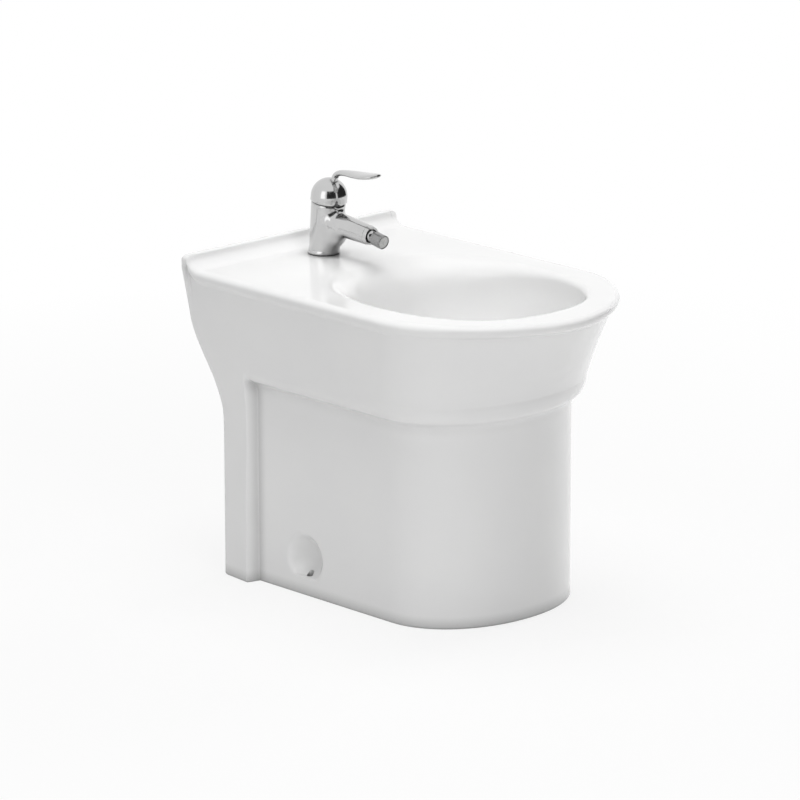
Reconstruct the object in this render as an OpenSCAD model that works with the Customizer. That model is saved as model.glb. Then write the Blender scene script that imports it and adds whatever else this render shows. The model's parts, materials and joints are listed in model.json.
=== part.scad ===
// Floor-standing bidet with a single-lever mixer, pop-up waste and bottle trap.
// +Z is up, the wall is towards +Y, and the origin is on the floor under the middle.

/* [Overall] */
// Height of the flat deck above the floor
deck_h = 397; // [370:1:430]
// Length from the wall face to the front of the rim
body_l = 527; // [510:1:560]
// Width over the rim
rim_w = 360; // [350:1:380]
// Thickness of the ceramic walls
wall_t = 12; // [10:0.5:13]

/* [Rim] */
// Height of the upstand above the deck
upstand_h = 17; // [12:1:24]
// Thickness of the upstand at its top
upstand_t = 12; // [9:1:15]
// Length of the hollow curve in front of the upstand
upstand_run = 24; // [18:1:30]
// Height of the rounded edge from its groove to the deck
edge_h = 17; // [14:1:20]
// How far the groove steps in at the sides
groove_in = 4; // [3:0.5:6]
// How far the groove steps in at the front
groove_front_in = 12; // [8:1:15]
// Distance from the wall to where the rim starts to round
rim_straight = 364; // [350:1:380]
// Roundness of the rim's front, 2 is an ellipse
rim_power = 1.7; // [1.65:0.05:2.2]

/* [Body] */
// Width of the base at its sides
base_w = 274; // [268:1:282]
// Distance from the wall to the front of the base
base_front = 441; // [432:1:448]
// Distance from the wall to where the base starts to round
base_straight = 336; // [320:1:345]
// Width over the two rear strips
strip_w = 299; // [296:1:306]
// Distance from the wall to the front edge of the strips
strip_len = 90; // [84:1:96]
// Gap between the wall and the back of the foot
foot_gap = 42; // [34:1:50]
// Height of the underside of the ledge round the base
ledge_z = 258; // [245:1:270]
// Height of the rounded lower corner of the ledge
ledge_round = 26; // [20:1:32]
// Distance from the wall to the front of the ledge
ledge_front = 449; // [445:1:456]
// Width of the foot flange on the floor
foot_t = 30; // [26:1:34]
// Height of the foot flange
foot_h = 20; // [16:1:22]
// Half the width of the rear opening for the pipes
arch_r = 68; // [55:1:75]
// Height of the rear opening
arch_h = 200; // [185:1:205]

/* [Floor fixing pockets] */
// Distance from the wall to the middle of a pocket
pocket_back = 181; // [168:1:190]
// Radius of the hollow
pocket_r = 34; // [30:1:36]
// Depth of the hollow in the side
pocket_depth = 18; // [14:1:20]
// Height of the flat ledge inside the pocket
pocket_z = 24; // [22:1:30]
// Diameter of the floor screw holes
screw_hole_d = 9; // [7:0.5:11]

/* [Bowl] */
// Width of the opening
bowl_w = 269; // [262:1:274]
// Length of the opening
bowl_l = 326; // [316:1:332]
// Distance from the wall to the middle of the opening
bowl_mid = 312; // [308:1:316]
// Squareness of the opening, 2 is an ellipse
bowl_power = 2.35; // [2.1:0.05:2.6]
// Depth from the deck to the waste
bowl_depth = 145; // [125:1:150]
// Radius of the lip at the front and sides
lip_r = 8; // [6:0.5:10]
// Radius of the soft lip at the back
lip_back_r = 46; // [30:1:50]

/* [Waste] */
// Distance from the wall to the waste
waste_back = 306; // [300:1:320]
// Diameter of the threaded waste tube
waste_d = 41.9; // [40:0.1:42.5]
// Diameter of the flange in the bowl
flange_d = 64; // [60:0.5:70]
// Travel of the click plug
plug_travel = 9; // [6:0.5:10]
// Diameter of the outlet pipe
pipe_d = 32; // [30:0.5:34]
// Height of the middle of the outlet pipe
outlet_z = 112; // [100:1:120]

/* [Mixer] */
// Distance from the wall to the mixer
tap_back = 69; // [62:1:74]
// Diameter of the mixer hole in the deck
tap_hole_d = 33; // [30:0.5:35]
// Diameter of the mixer base
tap_base_d = 40; // [38:0.5:44]
// Forward lean of the mixer body in degrees
tap_lean = 8; // [5:1:10]
// Length of the body from the deck to the seam under the handle
tap_body_l = 69; // [66:1:74]
// Diameter of the body at the seam
tap_head_d = 44; // [43:0.5:46]
// Distance from the base to the end of the spout
spout_reach = 84; // [78:1:92]
// Height of the spout's end above the deck
spout_rise = 37.5; // [36:0.5:40]
// Downward slope of the spout in degrees
spout_droop = 5; // [2:1:8]
// Diameter of the spout at its end
spout_end_d = 25; // [24:0.5:27]
// Diameter of the spout where it leaves the body
spout_root_d = 31; // [29:0.5:33]

/* [Handle] */
// Diameter of the domed cap
cap_d = 46.4; // [45.5:0.1:47.5]
// Thickness of the cap's wall
cap_t = 2.6; // [2:0.1:3]
// Width of the lever's blade
lever_w = 29; // [22:1:32]
// Thickness of the lever's blade
lever_t = 4.5; // [3.5:0.5:6]
// Length of the lever from the mixer's axis
lever_l = 101; // [90:1:110]
// Angle that the handle turns to each side
turn_range = 45; // [30:5:50]

/* [Nozzle] */
// Diameter of the swivel ball
ball_d = 17; // [16:0.5:18]
// Diameter of the nozzle's barrel
barrel_d = 18; // [17:0.5:19]
// Length of the nozzle's barrel
barrel_l = 17; // [14:0.5:19]
// Tilt of the nozzle below the spout in degrees
nozzle_rest = 6; // [0:1:10]

/* [Hidden] */
$fn = 64;

// Shared clearances
run_fit = 0.05;
seat_gap = 0.3;
cut = 1;

// Places worked out from the driving sizes
wall_y = body_l / 2;
tap_y = wall_y - tap_back;
bowl_y = wall_y - bowl_mid;
waste_y = wall_y - waste_back;
strip_y = wall_y - strip_len;
strip_step = 6;
groove_z = deck_h - edge_h;
ledge_top = ledge_z + ledge_round;
bowl_floor = deck_h - bowl_depth;
corner_r = 5;

// ---------- Ceramic body ----------
// Heights between which the sides and the back curve out to the rim
side_curve_z = 190;
side_curve_power = 1.55;
back_curve_z = 212;
back_curve_run = 121;
front_power = 1.39;
strip_taper = 5;
base_power = 2.1;
lift_run = 40;
join_y = strip_y + 8;

function ease(t) = let (u = min(1, max(0, t))) u * u * (3 - 2 * u);
function clamp01(t) = min(1, max(0, t));
function mix(a, b, t) = a + (b - a) * t;

// How far the deck rises towards the wall, a hollow curve with a flat top
function upstand(y) =
    let (run = clamp01((wall_y - upstand_t - y) / upstand_run))
    y >= wall_y - upstand_t ? upstand_h : upstand_h * (1 - sqrt(1 - pow(1 - run, 2)));

// Plan outlines are [half width, back, end of the straight side, front, power]
function rim_outline(side_in, back_in) = [
    rim_w / 2 - side_in, wall_y - back_in, wall_y - rim_straight, side_in - wall_y, rim_power
];
function groove_outline() = [
    rim_w / 2 - groove_in, wall_y, wall_y - rim_straight, groove_front_in - wall_y, rim_power
];
function inset(o, d) = [o[0] - d, o[1] - d, o[2], o[3] + d, o[4]];

// The base below the ledge, without the rear strips
function base_outline() = [
    base_w / 2, wall_y - foot_gap, wall_y - base_straight, wall_y - base_front, base_power
];

// The outer skin between the ledge and the groove
function skin_outline(z) =
    let (
        groove = groove_outline(),
        side = pow(clamp01((z - side_curve_z) / (groove_z - side_curve_z)), side_curve_power),
        back = ease((z - back_curve_z) / back_curve_run),
        rise = clamp01((z - ledge_z) / (groove_z - ledge_z)),
        front = pow(rise, front_power)
    )
    [
        mix(strip_w / 2, groove[0], side),
        mix(wall_y - foot_gap, wall_y, back),
        mix(wall_y - base_straight, groove[2], rise),
        mix(wall_y - ledge_front, groove[3], front),
        mix(base_power, rim_power, rise)
    ];

// The base and the rounded lower corner of the ledge above it
function recess_outline(z) =
    let (
        base = base_outline(),
        top = skin_outline(ledge_top),
        turn = clamp01((z - ledge_z) / ledge_round),
        out = sqrt(1 - pow(1 - turn, 2))
    )
    [
        mix(base[0], top[0], out), skin_outline(z)[1], mix(base[2], top[2], out),
        mix(base[3], top[3], out), mix(base[4], top[4], out)
    ];

// Stations along half of an outline, from the middle of the back to the front
BACK = 0;
CORNER = 1;
RUN = 2;
STEP = 3;
SIDE = 4;
NOSE = 5;
stations = concat(
    [for (f = [0, 0.45, 0.85, 1]) [BACK, f]],
    [[CORNER, 45], [CORNER, 90]],
    [for (f = [0.06, 0.12, 0.17, 0.23, 0.3, 0.42, 0.7, 1]) [RUN, f]],
    [for (d = [0, 1.5, 3, 4.5, 6, 12]) [STEP, d]],
    [for (i = [1 : 4]) [SIDE, i / 4]],
    [for (i = [1 : 12]) [NOSE, i * 90 / 12]]
);
last = len(stations) - 1;

function station_xy(o, s) =
    s[0] == BACK ? [-(o[0] - corner_r) * s[1], o[1]]
    : s[0] == CORNER ? [
        -(o[0] - corner_r) - corner_r * sin(s[1]), o[1] - corner_r + corner_r * cos(s[1])
    ]
    : s[0] == RUN ? [-o[0], mix(o[1] - corner_r, join_y, s[1])]
    : s[0] == STEP ? [-o[0], strip_y - s[1]]
    : s[0] == SIDE ? [-o[0], mix(strip_y - 2 * strip_step, o[2], s[1])]
    : [
        -o[0] * pow(max(0, cos(s[1])), 2 / o[4]),
        mix(o[2], o[3], pow(sin(s[1]), 2 / o[4]))
    ];

// 1 on the rear strips and 0 on the recessed base
function strip_part(y) = ease((y - strip_y + strip_step) / strip_step);

// The strips widen a little towards their front edge, down at the foot
function strip_spread(y, z) =
    strip_taper * (1 - clamp01((z - side_curve_z / 2) / side_curve_z))
    * clamp01((wall_y - foot_gap - y) / (strip_len - foot_gap));

// Below the groove the skin rises and spreads into the upstand's end
function end_fade(y) = ease((y - wall_y + upstand_run) / upstand_t);
function lift(z) = ease((z - groove_z + lift_run) / lift_run);

function skin_point(z, d, s) =
    let (
        frame = station_xy(inset(skin_outline(z), d), s),
        base = station_xy(inset(recess_outline(z), d), s),
        share = z < ledge_top ? strip_part(frame[1]) : 1,
        plan = mix(base, frame, share),
        spread = s[0] >= RUN ? share * strip_spread(plan[1], z) : 0,
        end = groove_in * end_fade(plan[1]) * lift(z)
    )
    [
        plan[0] - (z < ledge_top ? spread : 0) - (s[0] == BACK || s[0] >= SIDE ? 0 : end),
        plan[1],
        z + upstand(plan[1]) * lift(z)
    ];
function skin_row(z, d) = [for (s = stations) skin_point(z, d, s)];

// Rows of the rounded edge: t is 0 in the groove and 1 on the outermost line
function edge_row(t, z) = [
    for (s = stations)
        let (
            groove = station_xy(groove_outline(), s),
            rim = station_xy(rim_outline(0, 0), s),
            y = rim[1],
            plan = mix(groove, rim, max(t, end_fade(y)))
        )
        [plan[0], plan[1], z + upstand(plan[1])]
];
function deck_row(side_in, back_in, drop) = [
    for (s = stations)
        let (p = station_xy(rim_outline(side_in, back_in), s))
        [p[0], p[1], deck_h - drop + upstand(p[1])]
];

// Directions from the middle of the bowl, shared by all of its rows
angles = [
    for (s = stations)
        let (p = station_xy(rim_outline(0, 0), s)) atan2(-p[0], p[1] - bowl_y)
];
function oval_r(a, b, phi) = pow(
    pow(abs(sin(phi)) / a, bowl_power) + pow(abs(cos(phi)) / b, bowl_power), -1 / bowl_power
);
function lip_radius(phi) = mix(lip_r, lip_back_r, pow((1 + cos(phi)) / 2, 3));
function polar(centre_y, r, phi) = [-r * sin(phi), centre_y + r * cos(phi)];

// turn goes from 0 on the deck to 90 where the lip meets the bowl's wall
function lip_point(phi, turn, out) =
    let (
        r = lip_radius(phi),
        rim_r = oval_r(bowl_w / 2, bowl_l / 2, phi) + lip_r,
        p = polar(bowl_y, rim_r - r * sin(turn) + out, phi)
    )
    [p[0], p[1], deck_h - r * (1 - cos(turn))];
function lip_row(turn) = [for (phi = angles) lip_point(phi, turn, 0)];

// The bowl narrows from the lip to the waste on a superelliptic curve
bowl_curve = 2.15;
waste_land = flange_d / 2 + 4;
function bowl_row(a, out) = [
    for (phi = angles)
        let (
            lip = lip_point(phi, 90, out),
            share = 1 - pow(cos(a), 2 / bowl_curve),
            drop = pow(sin(a), 2 / bowl_curve),
            end = polar(waste_y, waste_land + out / 2, phi),
            plan = mix([lip[0], lip[1]], end, share)
        )
        [plan[0], plan[1], mix(lip[2], bowl_floor - out, drop)]
];
function flat_row(from, to, t, z) = [
    for (i = [0 : last]) [mix(from[i][0], to[i][0], t), mix(from[i][1], to[i][1], t), z]
];
function deck_between(t) =
    let (from = deck_row(20, upstand_t + upstand_run + 2, 0), to = lip_row(0))
    flat_row(from, to, t, deck_h);

// Inside, the wall thickens behind each floor fixing pocket
pocket_y = wall_y - pocket_back;
function pocket_pad(y, z) =
    (pocket_depth + wall_t / 2)
    * ease(1.9 - norm([y - pocket_y, z - pocket_z - pocket_r / 2]) / pocket_r);
function inner_row(z, d) = [
    for (p = skin_row(z, d))
        let (pad = pocket_pad(p[1], z)) [p[0] + (p[0] < -base_w / 4 ? pad : 0), p[1], z]
];

under_deck = deck_h - wall_t;
under_corner = 12;
// Heights of the inner skin's rows round the floor fixing pockets
pocket_rows = [50, 76, 110];
half_rows = concat(
    // bowl, from the waste outwards and up to the lip
    [for (a = [90, 74, 60, 48, 36, 25, 14, 5]) bowl_row(a, 0)],
    [for (turn = [90, 67, 45, 22, 0]) lip_row(turn)],
    [deck_between(0.5)],
    // deck, upstand and rounded edge
    [
        deck_row(20, upstand_t + upstand_run + 2, 0), deck_row(18, 30, 0), deck_row(16, 24, 0),
        deck_row(14, 19, 0), deck_row(13, 15, 0), deck_row(12, 12.5, 0), deck_row(10, 10, 0),
        deck_row(7, 3, 0.6), deck_row(3, 0.8, 3)
    ],
    [edge_row(1, deck_h - 7), edge_row(0.9, deck_h - 11), edge_row(0.5, deck_h - 14)],
    // outer skin down to the floor
    [for (z = [groove_z, groove_z - 8]) skin_row(z, 0)],
    [for (i = [1 : 4]) skin_row(mix(groove_z - 8, ledge_top, i / 4), 0)],
    [for (f = [0.65, 0.35, 0.12, 0]) skin_row(ledge_z + ledge_round * f, 0)],
    [for (z = [ledge_z - 22, back_curve_z, side_curve_z / 2, 0]) skin_row(z, 0)],
    // inner skin from the floor up to the underside of the deck
    [inner_row(0, foot_t), inner_row(foot_h, foot_t), inner_row(foot_h + 6, wall_t)],
    [for (z = pocket_rows) inner_row(z, wall_t)],
    [for (z = [side_curve_z, ledge_z - 22, ledge_z + 4]) inner_row(z, wall_t)],
    [for (z = [ledge_top + 8, ledge_top + 50, under_deck - under_corner]) inner_row(z, wall_t)],
    // the flat underside of the deck, then the underside of the bowl back to the waste
    [for (t = [0, 0.75]) under_row(t)],
    [for (a = [9, 22, 38, 56, 74, 90]) bowl_row(a, wall_t)]
);
function under_row(t) =
    flat_row(inner_row(under_deck - under_corner, wall_t + under_corner), lip_row(0), t, under_deck);

// A whole ring is the half with its mirror image
function mirrored(p) = [-p[0], p[1], p[2]];
function whole(half) = concat(half, [for (i = [last - 1 : -1 : 1]) mirrored(half[i])]);
ring_n = 2 * last;
row_n = len(half_rows);

module ceramic_shell() {
    polyhedron(
        points = [for (half = half_rows) each whole(half)],
        faces = concat(
            [[for (i = [ring_n - 1 : -1 : 0]) i]],
            [
                for (r = [0 : row_n - 2], i = [0 : ring_n - 1])
                    let (a = r * ring_n + i, b = r * ring_n + (i + 1) % ring_n)
                    each [[a, b, b + ring_n], [a, b + ring_n, a + ring_n]]
            ],
            [[for (i = [0 : ring_n - 1]) (row_n - 1) * ring_n + i]]
        ),
        convexity = 12
    );
}

flange_sink = 3;
module waste_hole() {
    translate([0, waste_y, bowl_floor - flange_sink])
        cylinder(h = flange_sink + cut, d = flange_d + 2);
    translate([0, waste_y, bowl_floor - 3 * wall_t])
        cylinder(h = 3 * wall_t, d = waste_d + 3);
}
module rear_arch() {
    translate([0, wall_y - foot_gap - wall_t - 4, 0])
        rotate([90, 0, 0])
            translate([0, 0, -wall_t - foot_gap])
                linear_extrude(wall_t + foot_gap + foot_t) {
                    translate([-arch_r, -cut])
                        square([2 * arch_r, arch_h - arch_r + cut]);
                    translate([0, arch_h - arch_r])
                        circle(arch_r);
                }
}
screw_x = -(base_w / 2 - pocket_depth / 2);
pocket_rise = 0.72 * pocket_r;
module fixing_pocket() {
    offset_x = base_w / 2 - pocket_depth + pocket_r;
    intersection() {
        translate([-offset_x, pocket_y, pocket_z + pocket_rise])
            sphere(pocket_r);
        translate([-offset_x - pocket_r, pocket_y - pocket_r, pocket_z])
            cube(2 * pocket_r);
    }
    translate([screw_x, pocket_y, -cut])
        cylinder(h = pocket_z + 2 * cut, d = screw_hole_d);
}

module ceramic_body() {
    color("white")
        difference() {
            ceramic_shell();
            waste_hole();
            rear_arch();
            fixing_pocket();
            mirror([1, 0, 0])
                fixing_pocket();
            translate([0, tap_y, under_deck - cut])
                cylinder(h = wall_t + 2 * cut, d = tap_hole_d);
        }
}

// ---------- Mixer ----------
base_ring_t = 1;
base_flange_h = 3;
cartridge_floor = tap_body_l - 25;
cartridge_r = 14;
cartridge_neck_r = 10;
plenum_h = 5;
cartridge_top = tap_body_l - 4.7;
nut_bore_r = 16;
nut_top = tap_body_l + 2;
carrier_r = 8.4;
carrier_z = cartridge_floor + 7;
carrier_top = tap_body_l - 2.5;
pivot_s = tap_body_l - 12.5;
stem_w = 6;
stem_d = 6.4;
stem_top = tap_body_l + 20;
pin_r = 1.25;
channel_r = 4.5;
inlet_x = 8;
inlet_y = -2;
inlet_r = 4.5;
inlet_depth = 14;
feed_r = 2.5;
stud_r = 4;
stud_y = 10;

// Mixer frames: on the deck, on the leaning axis, at the spout's end and on the nozzle
module at_tap() {
    translate([0, tap_y, deck_h])
        children();
}
module on_axis(s) {
    at_tap()
        rotate([tap_lean, 0, 0])
            translate([0, 0, s])
                children();
}
module at_spout(s) {
    translate([0, tap_y - spout_reach, deck_h + spout_rise])
        rotate([90 + spout_droop, 0, 0])
            translate([0, 0, s])
                children();
}
module at_nozzle(s) {
    at_spout(ball_s)
        rotate([nozzle_rest, 0, 0])
            translate([0, 0, s])
                children();
}
module tube(h, r, bore) {
    difference() {
        cylinder(h = h, r = r);
        translate([0, 0, -cut])
            cylinder(h = h + 2 * cut, r = bore);
    }
}

cap_gap = 1;
spout_l = spout_reach - 12;
socket_r = 10.4;
socket_d = 9;
// The front of the body leans out under the spout
front_lean = 38;
front_r = spout_root_d / 2 - 0.2;
front_l = (spout_rise + 4) / cos(front_lean);
body_foot_d = tap_base_d - 2.6;
body_root = 5;
// The body's top edge is rounded about the handle's pivot, so that the cap can tilt over it
rim_sphere_r = norm([cap_d / 2 - cap_t, cap_gap + tap_body_l - pivot_s]) - seat_gap;

module tap_body() {
    color("silver")
        difference() {
            union() {
                at_tap()
                    translate([0, 0, base_ring_t])
                        cylinder(h = base_flange_h, d = tap_base_d);
                intersection() {
                    on_axis(-body_root)
                        cylinder(h = tap_body_l + body_root, d1 = body_foot_d, d2 = tap_head_d);
                    union() {
                        on_axis(-body_root)
                            cylinder(h = pivot_s + body_root, r = tap_head_d);
                        on_axis(pivot_s)
                            sphere(rim_sphere_r);
                    }
                }
                at_tap()
                    rotate([front_lean, 0, 0])
                        translate([0, 0, -2 * body_root])
                            cylinder(h = front_l + 2 * body_root, r = front_r);
                at_spout(-spout_l)
                    cylinder(h = spout_l, d1 = spout_root_d, d2 = spout_end_d);
            }
            at_tap()
                translate([-tap_head_d, -tap_head_d, base_ring_t - 2 * tap_base_d])
                    cube([2 * tap_head_d, 2 * tap_head_d, 2 * tap_base_d]);
            on_axis(cartridge_floor)
                cylinder(h = tap_body_l, r = cartridge_r + 2 * run_fit);
            on_axis(cartridge_top)
                cylinder(h = tap_body_l, r = nut_bore_r);
            at_spout(-spout_l + 4)
                cylinder(h = spout_l, r = channel_r);
            at_spout(-socket_d)
                cylinder(h = socket_d + cut, r = socket_r);
            at_tap() {
                for (x = [-inlet_x, inlet_x]) {
                    translate([x, inlet_y, base_ring_t - cut])
                        cylinder(h = inlet_depth + cut, r = inlet_r);
                    translate([x, inlet_y, 0])
                        cylinder(h = cartridge_floor + 2, r = feed_r);
                }
                translate([0, stud_y, base_ring_t - cut])
                    cylinder(h = inlet_depth + cut, r = stud_r + run_fit);
            }
        }
}
module base_ring() {
    color("dimgray")
        at_tap()
            tube(base_ring_t, tap_base_d / 2 - 0.5, tap_base_d / 2 - 3);
}
module cartridge() {
    color("ivory")
        difference() {
            union() {
                on_axis(cartridge_floor)
                    cylinder(h = plenum_h + cut, r = cartridge_r - 2.5);
                on_axis(cartridge_floor + plenum_h)
                    cylinder(h = cartridge_top - cartridge_floor - plenum_h, r = cartridge_r);
                on_axis(cartridge_top - cut)
                    cylinder(h = carrier_top - cartridge_top + cut, r = cartridge_neck_r);
            }
            on_axis(carrier_z)
                cylinder(h = tap_body_l, r = carrier_r + run_fit);
        }
}
module stem_carrier() {
    color("gainsboro")
        difference() {
            on_axis(carrier_z + seat_gap)
                cylinder(h = carrier_top - carrier_z - seat_gap, r = carrier_r);
            on_axis(pivot_s - 4)
                translate([-stem_w / 2 - seat_gap, -stem_d / 2 - seat_gap, 0])
                    cube([stem_w + 2 * seat_gap, 2 * carrier_r, tap_body_l]);
            on_axis(pivot_s)
                rotate([0, 90, 0])
                    cylinder(h = 4 * carrier_r, r = pin_r, center = true);
        }
}
module stem_pin() {
    color("silver")
        on_axis(pivot_s)
            rotate([0, 90, 0])
                cylinder(h = 1.9 * carrier_r, r = pin_r, center = true);
}
module stem() {
    color("silver")
        difference() {
            union() {
                on_axis(pivot_s)
                    translate([-stem_w / 2, -stem_d / 2, 0])
                        cube([stem_w, stem_d, stem_top - pivot_s]);
                on_axis(pivot_s)
                    rotate([0, 90, 0])
                        cylinder(h = stem_w, r = stem_d / 2, center = true);
            }
            on_axis(pivot_s)
                rotate([0, 90, 0])
                    cylinder(h = 2 * stem_w, r = pin_r + run_fit, center = true);
        }
}
module cartridge_nut() {
    color("goldenrod")
        on_axis(cartridge_top)
            tube(nut_top - cartridge_top, nut_bore_r - 2 * run_fit, cartridge_neck_r + 0.5);
}

// ---------- Handle ----------
cap_mid = tap_body_l + cap_gap + 6.5;
boss_r = 7.5;
boss_z = tap_body_l + 8.5;
screw_s = tap_body_l + 14;
screw_r = 2;
plug_r = 2.6;
lever_scale = lever_l / 101;
// The lever's middle line as [forward, up] from the mixer's foot
lever_path = [
    [14, 86], [18, 92], [20.5, 97.5], [22.5, 102.5], [26.5, 106.3], [33, 108.6], [44, 110],
    [56, 110.8], [68, 111.2], [80, 112], [89, 113.2], [95.5, 114.6], [99.3, 115.6], [101, 116.1]
];
lever_neck_w = 9;
lever_neck_t = 7;
lever_sides = 16;
function lever_share(i) = clamp01((lever_path[i][0] - 20) / 60);
function lever_tip(i) =
    let (u = clamp01((lever_path[i][0] - 78) / 23.3)) sqrt(1 - u * u);
function lever_half_w(i) = mix(lever_neck_w, lever_w, ease(lever_share(i))) / 2 * lever_tip(i);
function lever_half_t(i) =
    mix(lever_neck_t, lever_t, ease(2 * lever_share(i))) / 2 * pow(lever_tip(i), 0.5);
function lever_dir(i) =
    let (
        a = lever_path[max(0, i - 1)],
        b = lever_path[min(len(lever_path) - 1, i + 1)]
    )
    (b - a) / norm(b - a);
module lever() {
    n = len(lever_path);
    at_tap()
        polyhedron(
            points = [
                for (i = [0 : n - 1], k = [0 : lever_sides - 1])
                    let (
                        a = 360 * k / lever_sides,
                        d = lever_dir(i),
                        up = lever_half_t(i) * sin(a)
                    )
                    [
                        lever_half_w(i) * cos(a),
                        -(lever_path[i][0] - d[1] * up) * lever_scale,
                        lever_path[i][1] + d[0] * up
                    ]
            ],
            faces = concat(
                [[for (k = [0 : lever_sides - 1]) k]],
                [
                    for (i = [0 : n - 2], k = [0 : lever_sides - 1])
                        let (a = i * lever_sides + k, b = i * lever_sides + (k + 1) % lever_sides)
                        each [[a, b + lever_sides, b], [a, a + lever_sides, b + lever_sides]]
                ],
                [[for (k = [lever_sides - 1 : -1 : 0]) (n - 1) * lever_sides + k]]
            )
        );
}
// A dome on a short cylinder, which the handle cuts off level at the rim
module cap_solid(r) {
    on_axis(tap_body_l + cap_gap - cut)
        cylinder(h = cap_mid - tap_body_l - cap_gap + cut, r = r);
    on_axis(cap_mid)
        sphere(r);
}
module handle() {
    color("silver")
        difference() {
            union() {
                difference() {
                    union() {
                        cap_solid(cap_d / 2);
                        lever();
                    }
                    on_axis(-cut)
                        cylinder(h = tap_body_l + cap_gap + cut, r = cap_d);
                    cap_solid(cap_d / 2 - cap_t);
                }
                on_axis(boss_z)
                    cylinder(h = cap_mid + cap_d / 2 - cap_t / 2 - boss_z, r = boss_r);
            }
            on_axis(boss_z - cut)
                translate([-stem_w / 2 - run_fit, -stem_d / 2 - run_fit, 0])
                    cube([stem_w + 2 * run_fit, stem_d + 2 * run_fit, stem_top - boss_z + 2 * cut]);
            on_axis(screw_s)
                rotate([-90, 0, 0]) {
                    cylinder(h = cap_d, r = screw_r + run_fit);
                    translate([0, 0, boss_r + cut])
                        cylinder(h = cap_d, r = plug_r + run_fit);
                }
        }
}
module handle_screw() {
    color("dimgray")
        on_axis(screw_s)
            rotate([-90, 0, 0])
                translate([0, 0, stem_d / 2 + run_fit])
                    cylinder(h = boss_r - stem_d / 2, r = screw_r);
}
module handle_plug() {
    color("silver")
        intersection() {
            cap_solid(cap_d / 2);
            on_axis(screw_s)
                rotate([-90, 0, 0])
                    translate([0, 0, cap_d / 2 - 2 * cap_t])
                        cylinder(h = 2 * cap_t, r = plug_r);
        }
}

// ---------- Clamp under the deck ----------
washer_t = 3;
plate_t = 2.5;
clamp_r = 24;
clamp_slot_w = 26;
clamp_slot_end = 4;
clamp_nut_h = 12;
clamp_nut_r = 7.5;
stud_drop = 36;
module horseshoe(t) {
    linear_extrude(t)
        difference() {
            circle(clamp_r);
            translate([-clamp_slot_w / 2, -clamp_r - cut])
                square([clamp_slot_w, clamp_r + cut + clamp_slot_end]);
            translate([0, stud_y])
                circle(stud_r + seat_gap);
        }
}
module tap_stud() {
    color("goldenrod")
        at_tap()
            translate([0, stud_y, -wall_t - stud_drop])
                cylinder(h = wall_t + stud_drop + base_ring_t + inlet_depth, r = stud_r);
}
module clamp_washer() {
    color("dimgray")
        at_tap()
            translate([0, 0, -wall_t - washer_t])
                horseshoe(washer_t);
}
module clamp_plate() {
    color("silver")
        at_tap()
            translate([0, 0, -wall_t - washer_t - plate_t])
                horseshoe(plate_t);
}
module clamp_nut() {
    color("goldenrod")
        at_tap()
            translate([0, stud_y, -wall_t - washer_t - plate_t - clamp_nut_h])
                difference() {
                    cylinder(h = clamp_nut_h, r = clamp_nut_r, $fn = 6);
                    translate([0, 0, -cut])
                        cylinder(h = clamp_nut_h + 2 * cut, r = stud_r + run_fit);
                }
}

// ---------- Swivel nozzle ----------
ball_s = 1;
ball_r = ball_d / 2;
neck_r = 5;
neck_bore_r = 3.4;
seat_h = 5.5;
collar_l = 5.2;
collar_in = 2.9;
collar_mouth = 3;
collar_mouth_s = ball_s + collar_mouth;
collar_mouth_r = sqrt(pow(ball_r + run_fit, 2) - pow(collar_mouth, 2));
barrel_s = ball_r + 1;
barrel_t = 1.5;
barrel_bore_r = barrel_d / 2 - barrel_t;
// Thickness of the barrel's end round the neck
barrel_end = 4.5;
aerator_washer_t = 1.5;
aerator_r = 0.7;
// Holes of the aerator as [radius of their ring, how many]
aerator_rings = [[0, 1], [2.6, 6], [5.2, 12]];
module nozzle_seat() {
    color("ivory")
        difference() {
            at_spout(-socket_d + seat_gap)
                cylinder(h = seat_h, r = socket_r - 4 * run_fit);
            at_spout(ball_s)
                sphere(ball_r + run_fit);
            at_spout(-socket_d)
                cylinder(h = socket_d, r = channel_r);
        }
}
module nozzle_collar() {
    color("silver")
        difference() {
            union() {
                at_spout(0)
                    cylinder(h = collar_l, d1 = spout_end_d, d2 = spout_end_d - 2.5);
                at_spout(-collar_in)
                    cylinder(h = collar_in + 2 * run_fit, r = socket_r - run_fit);
            }
            at_spout(ball_s)
                sphere(ball_r + run_fit);
            at_spout(-collar_in - cut)
                cylinder(h = collar_in + cut + ball_s, r = ball_r + run_fit);
            at_spout(collar_mouth_s)
                cylinder(h = collar_l, r1 = collar_mouth_r, r2 = collar_mouth_r + 2 * collar_l / 3);
        }
}
module swivel_ball() {
    color("silver")
        difference() {
            union() {
                at_nozzle(0)
                    sphere(ball_r);
                at_nozzle(0)
                    cylinder(h = barrel_s + barrel_end, r = neck_r);
            }
            at_nozzle(-ball_d)
                cylinder(h = 3 * ball_d, r = neck_bore_r);
        }
}
module nozzle_barrel() {
    color("silver")
        difference() {
            at_nozzle(barrel_s)
                cylinder(h = barrel_l, d = barrel_d);
            at_nozzle(barrel_s - cut)
                cylinder(h = barrel_l, r = neck_r);
            at_nozzle(barrel_s + barrel_end)
                cylinder(h = barrel_l, r = barrel_bore_r);
        }
}
module aerator_washer() {
    color("dimgray")
        at_nozzle(barrel_s + barrel_end)
            tube(aerator_washer_t, barrel_bore_r, neck_r - 1);
}
module aerator() {
    start = barrel_end + aerator_washer_t;
    color("gray")
        difference() {
            at_nozzle(barrel_s + start)
                cylinder(h = barrel_l - start - 1, r = barrel_bore_r);
            for (ring = aerator_rings, k = [1 : ring[1]])
                at_nozzle(barrel_s)
                    rotate([0, 0, 360 * k / ring[1]])
                        translate([ring[0], 0, 0])
                            cylinder(h = barrel_l, r = aerator_r, $fn = 16);
        }
}

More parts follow.
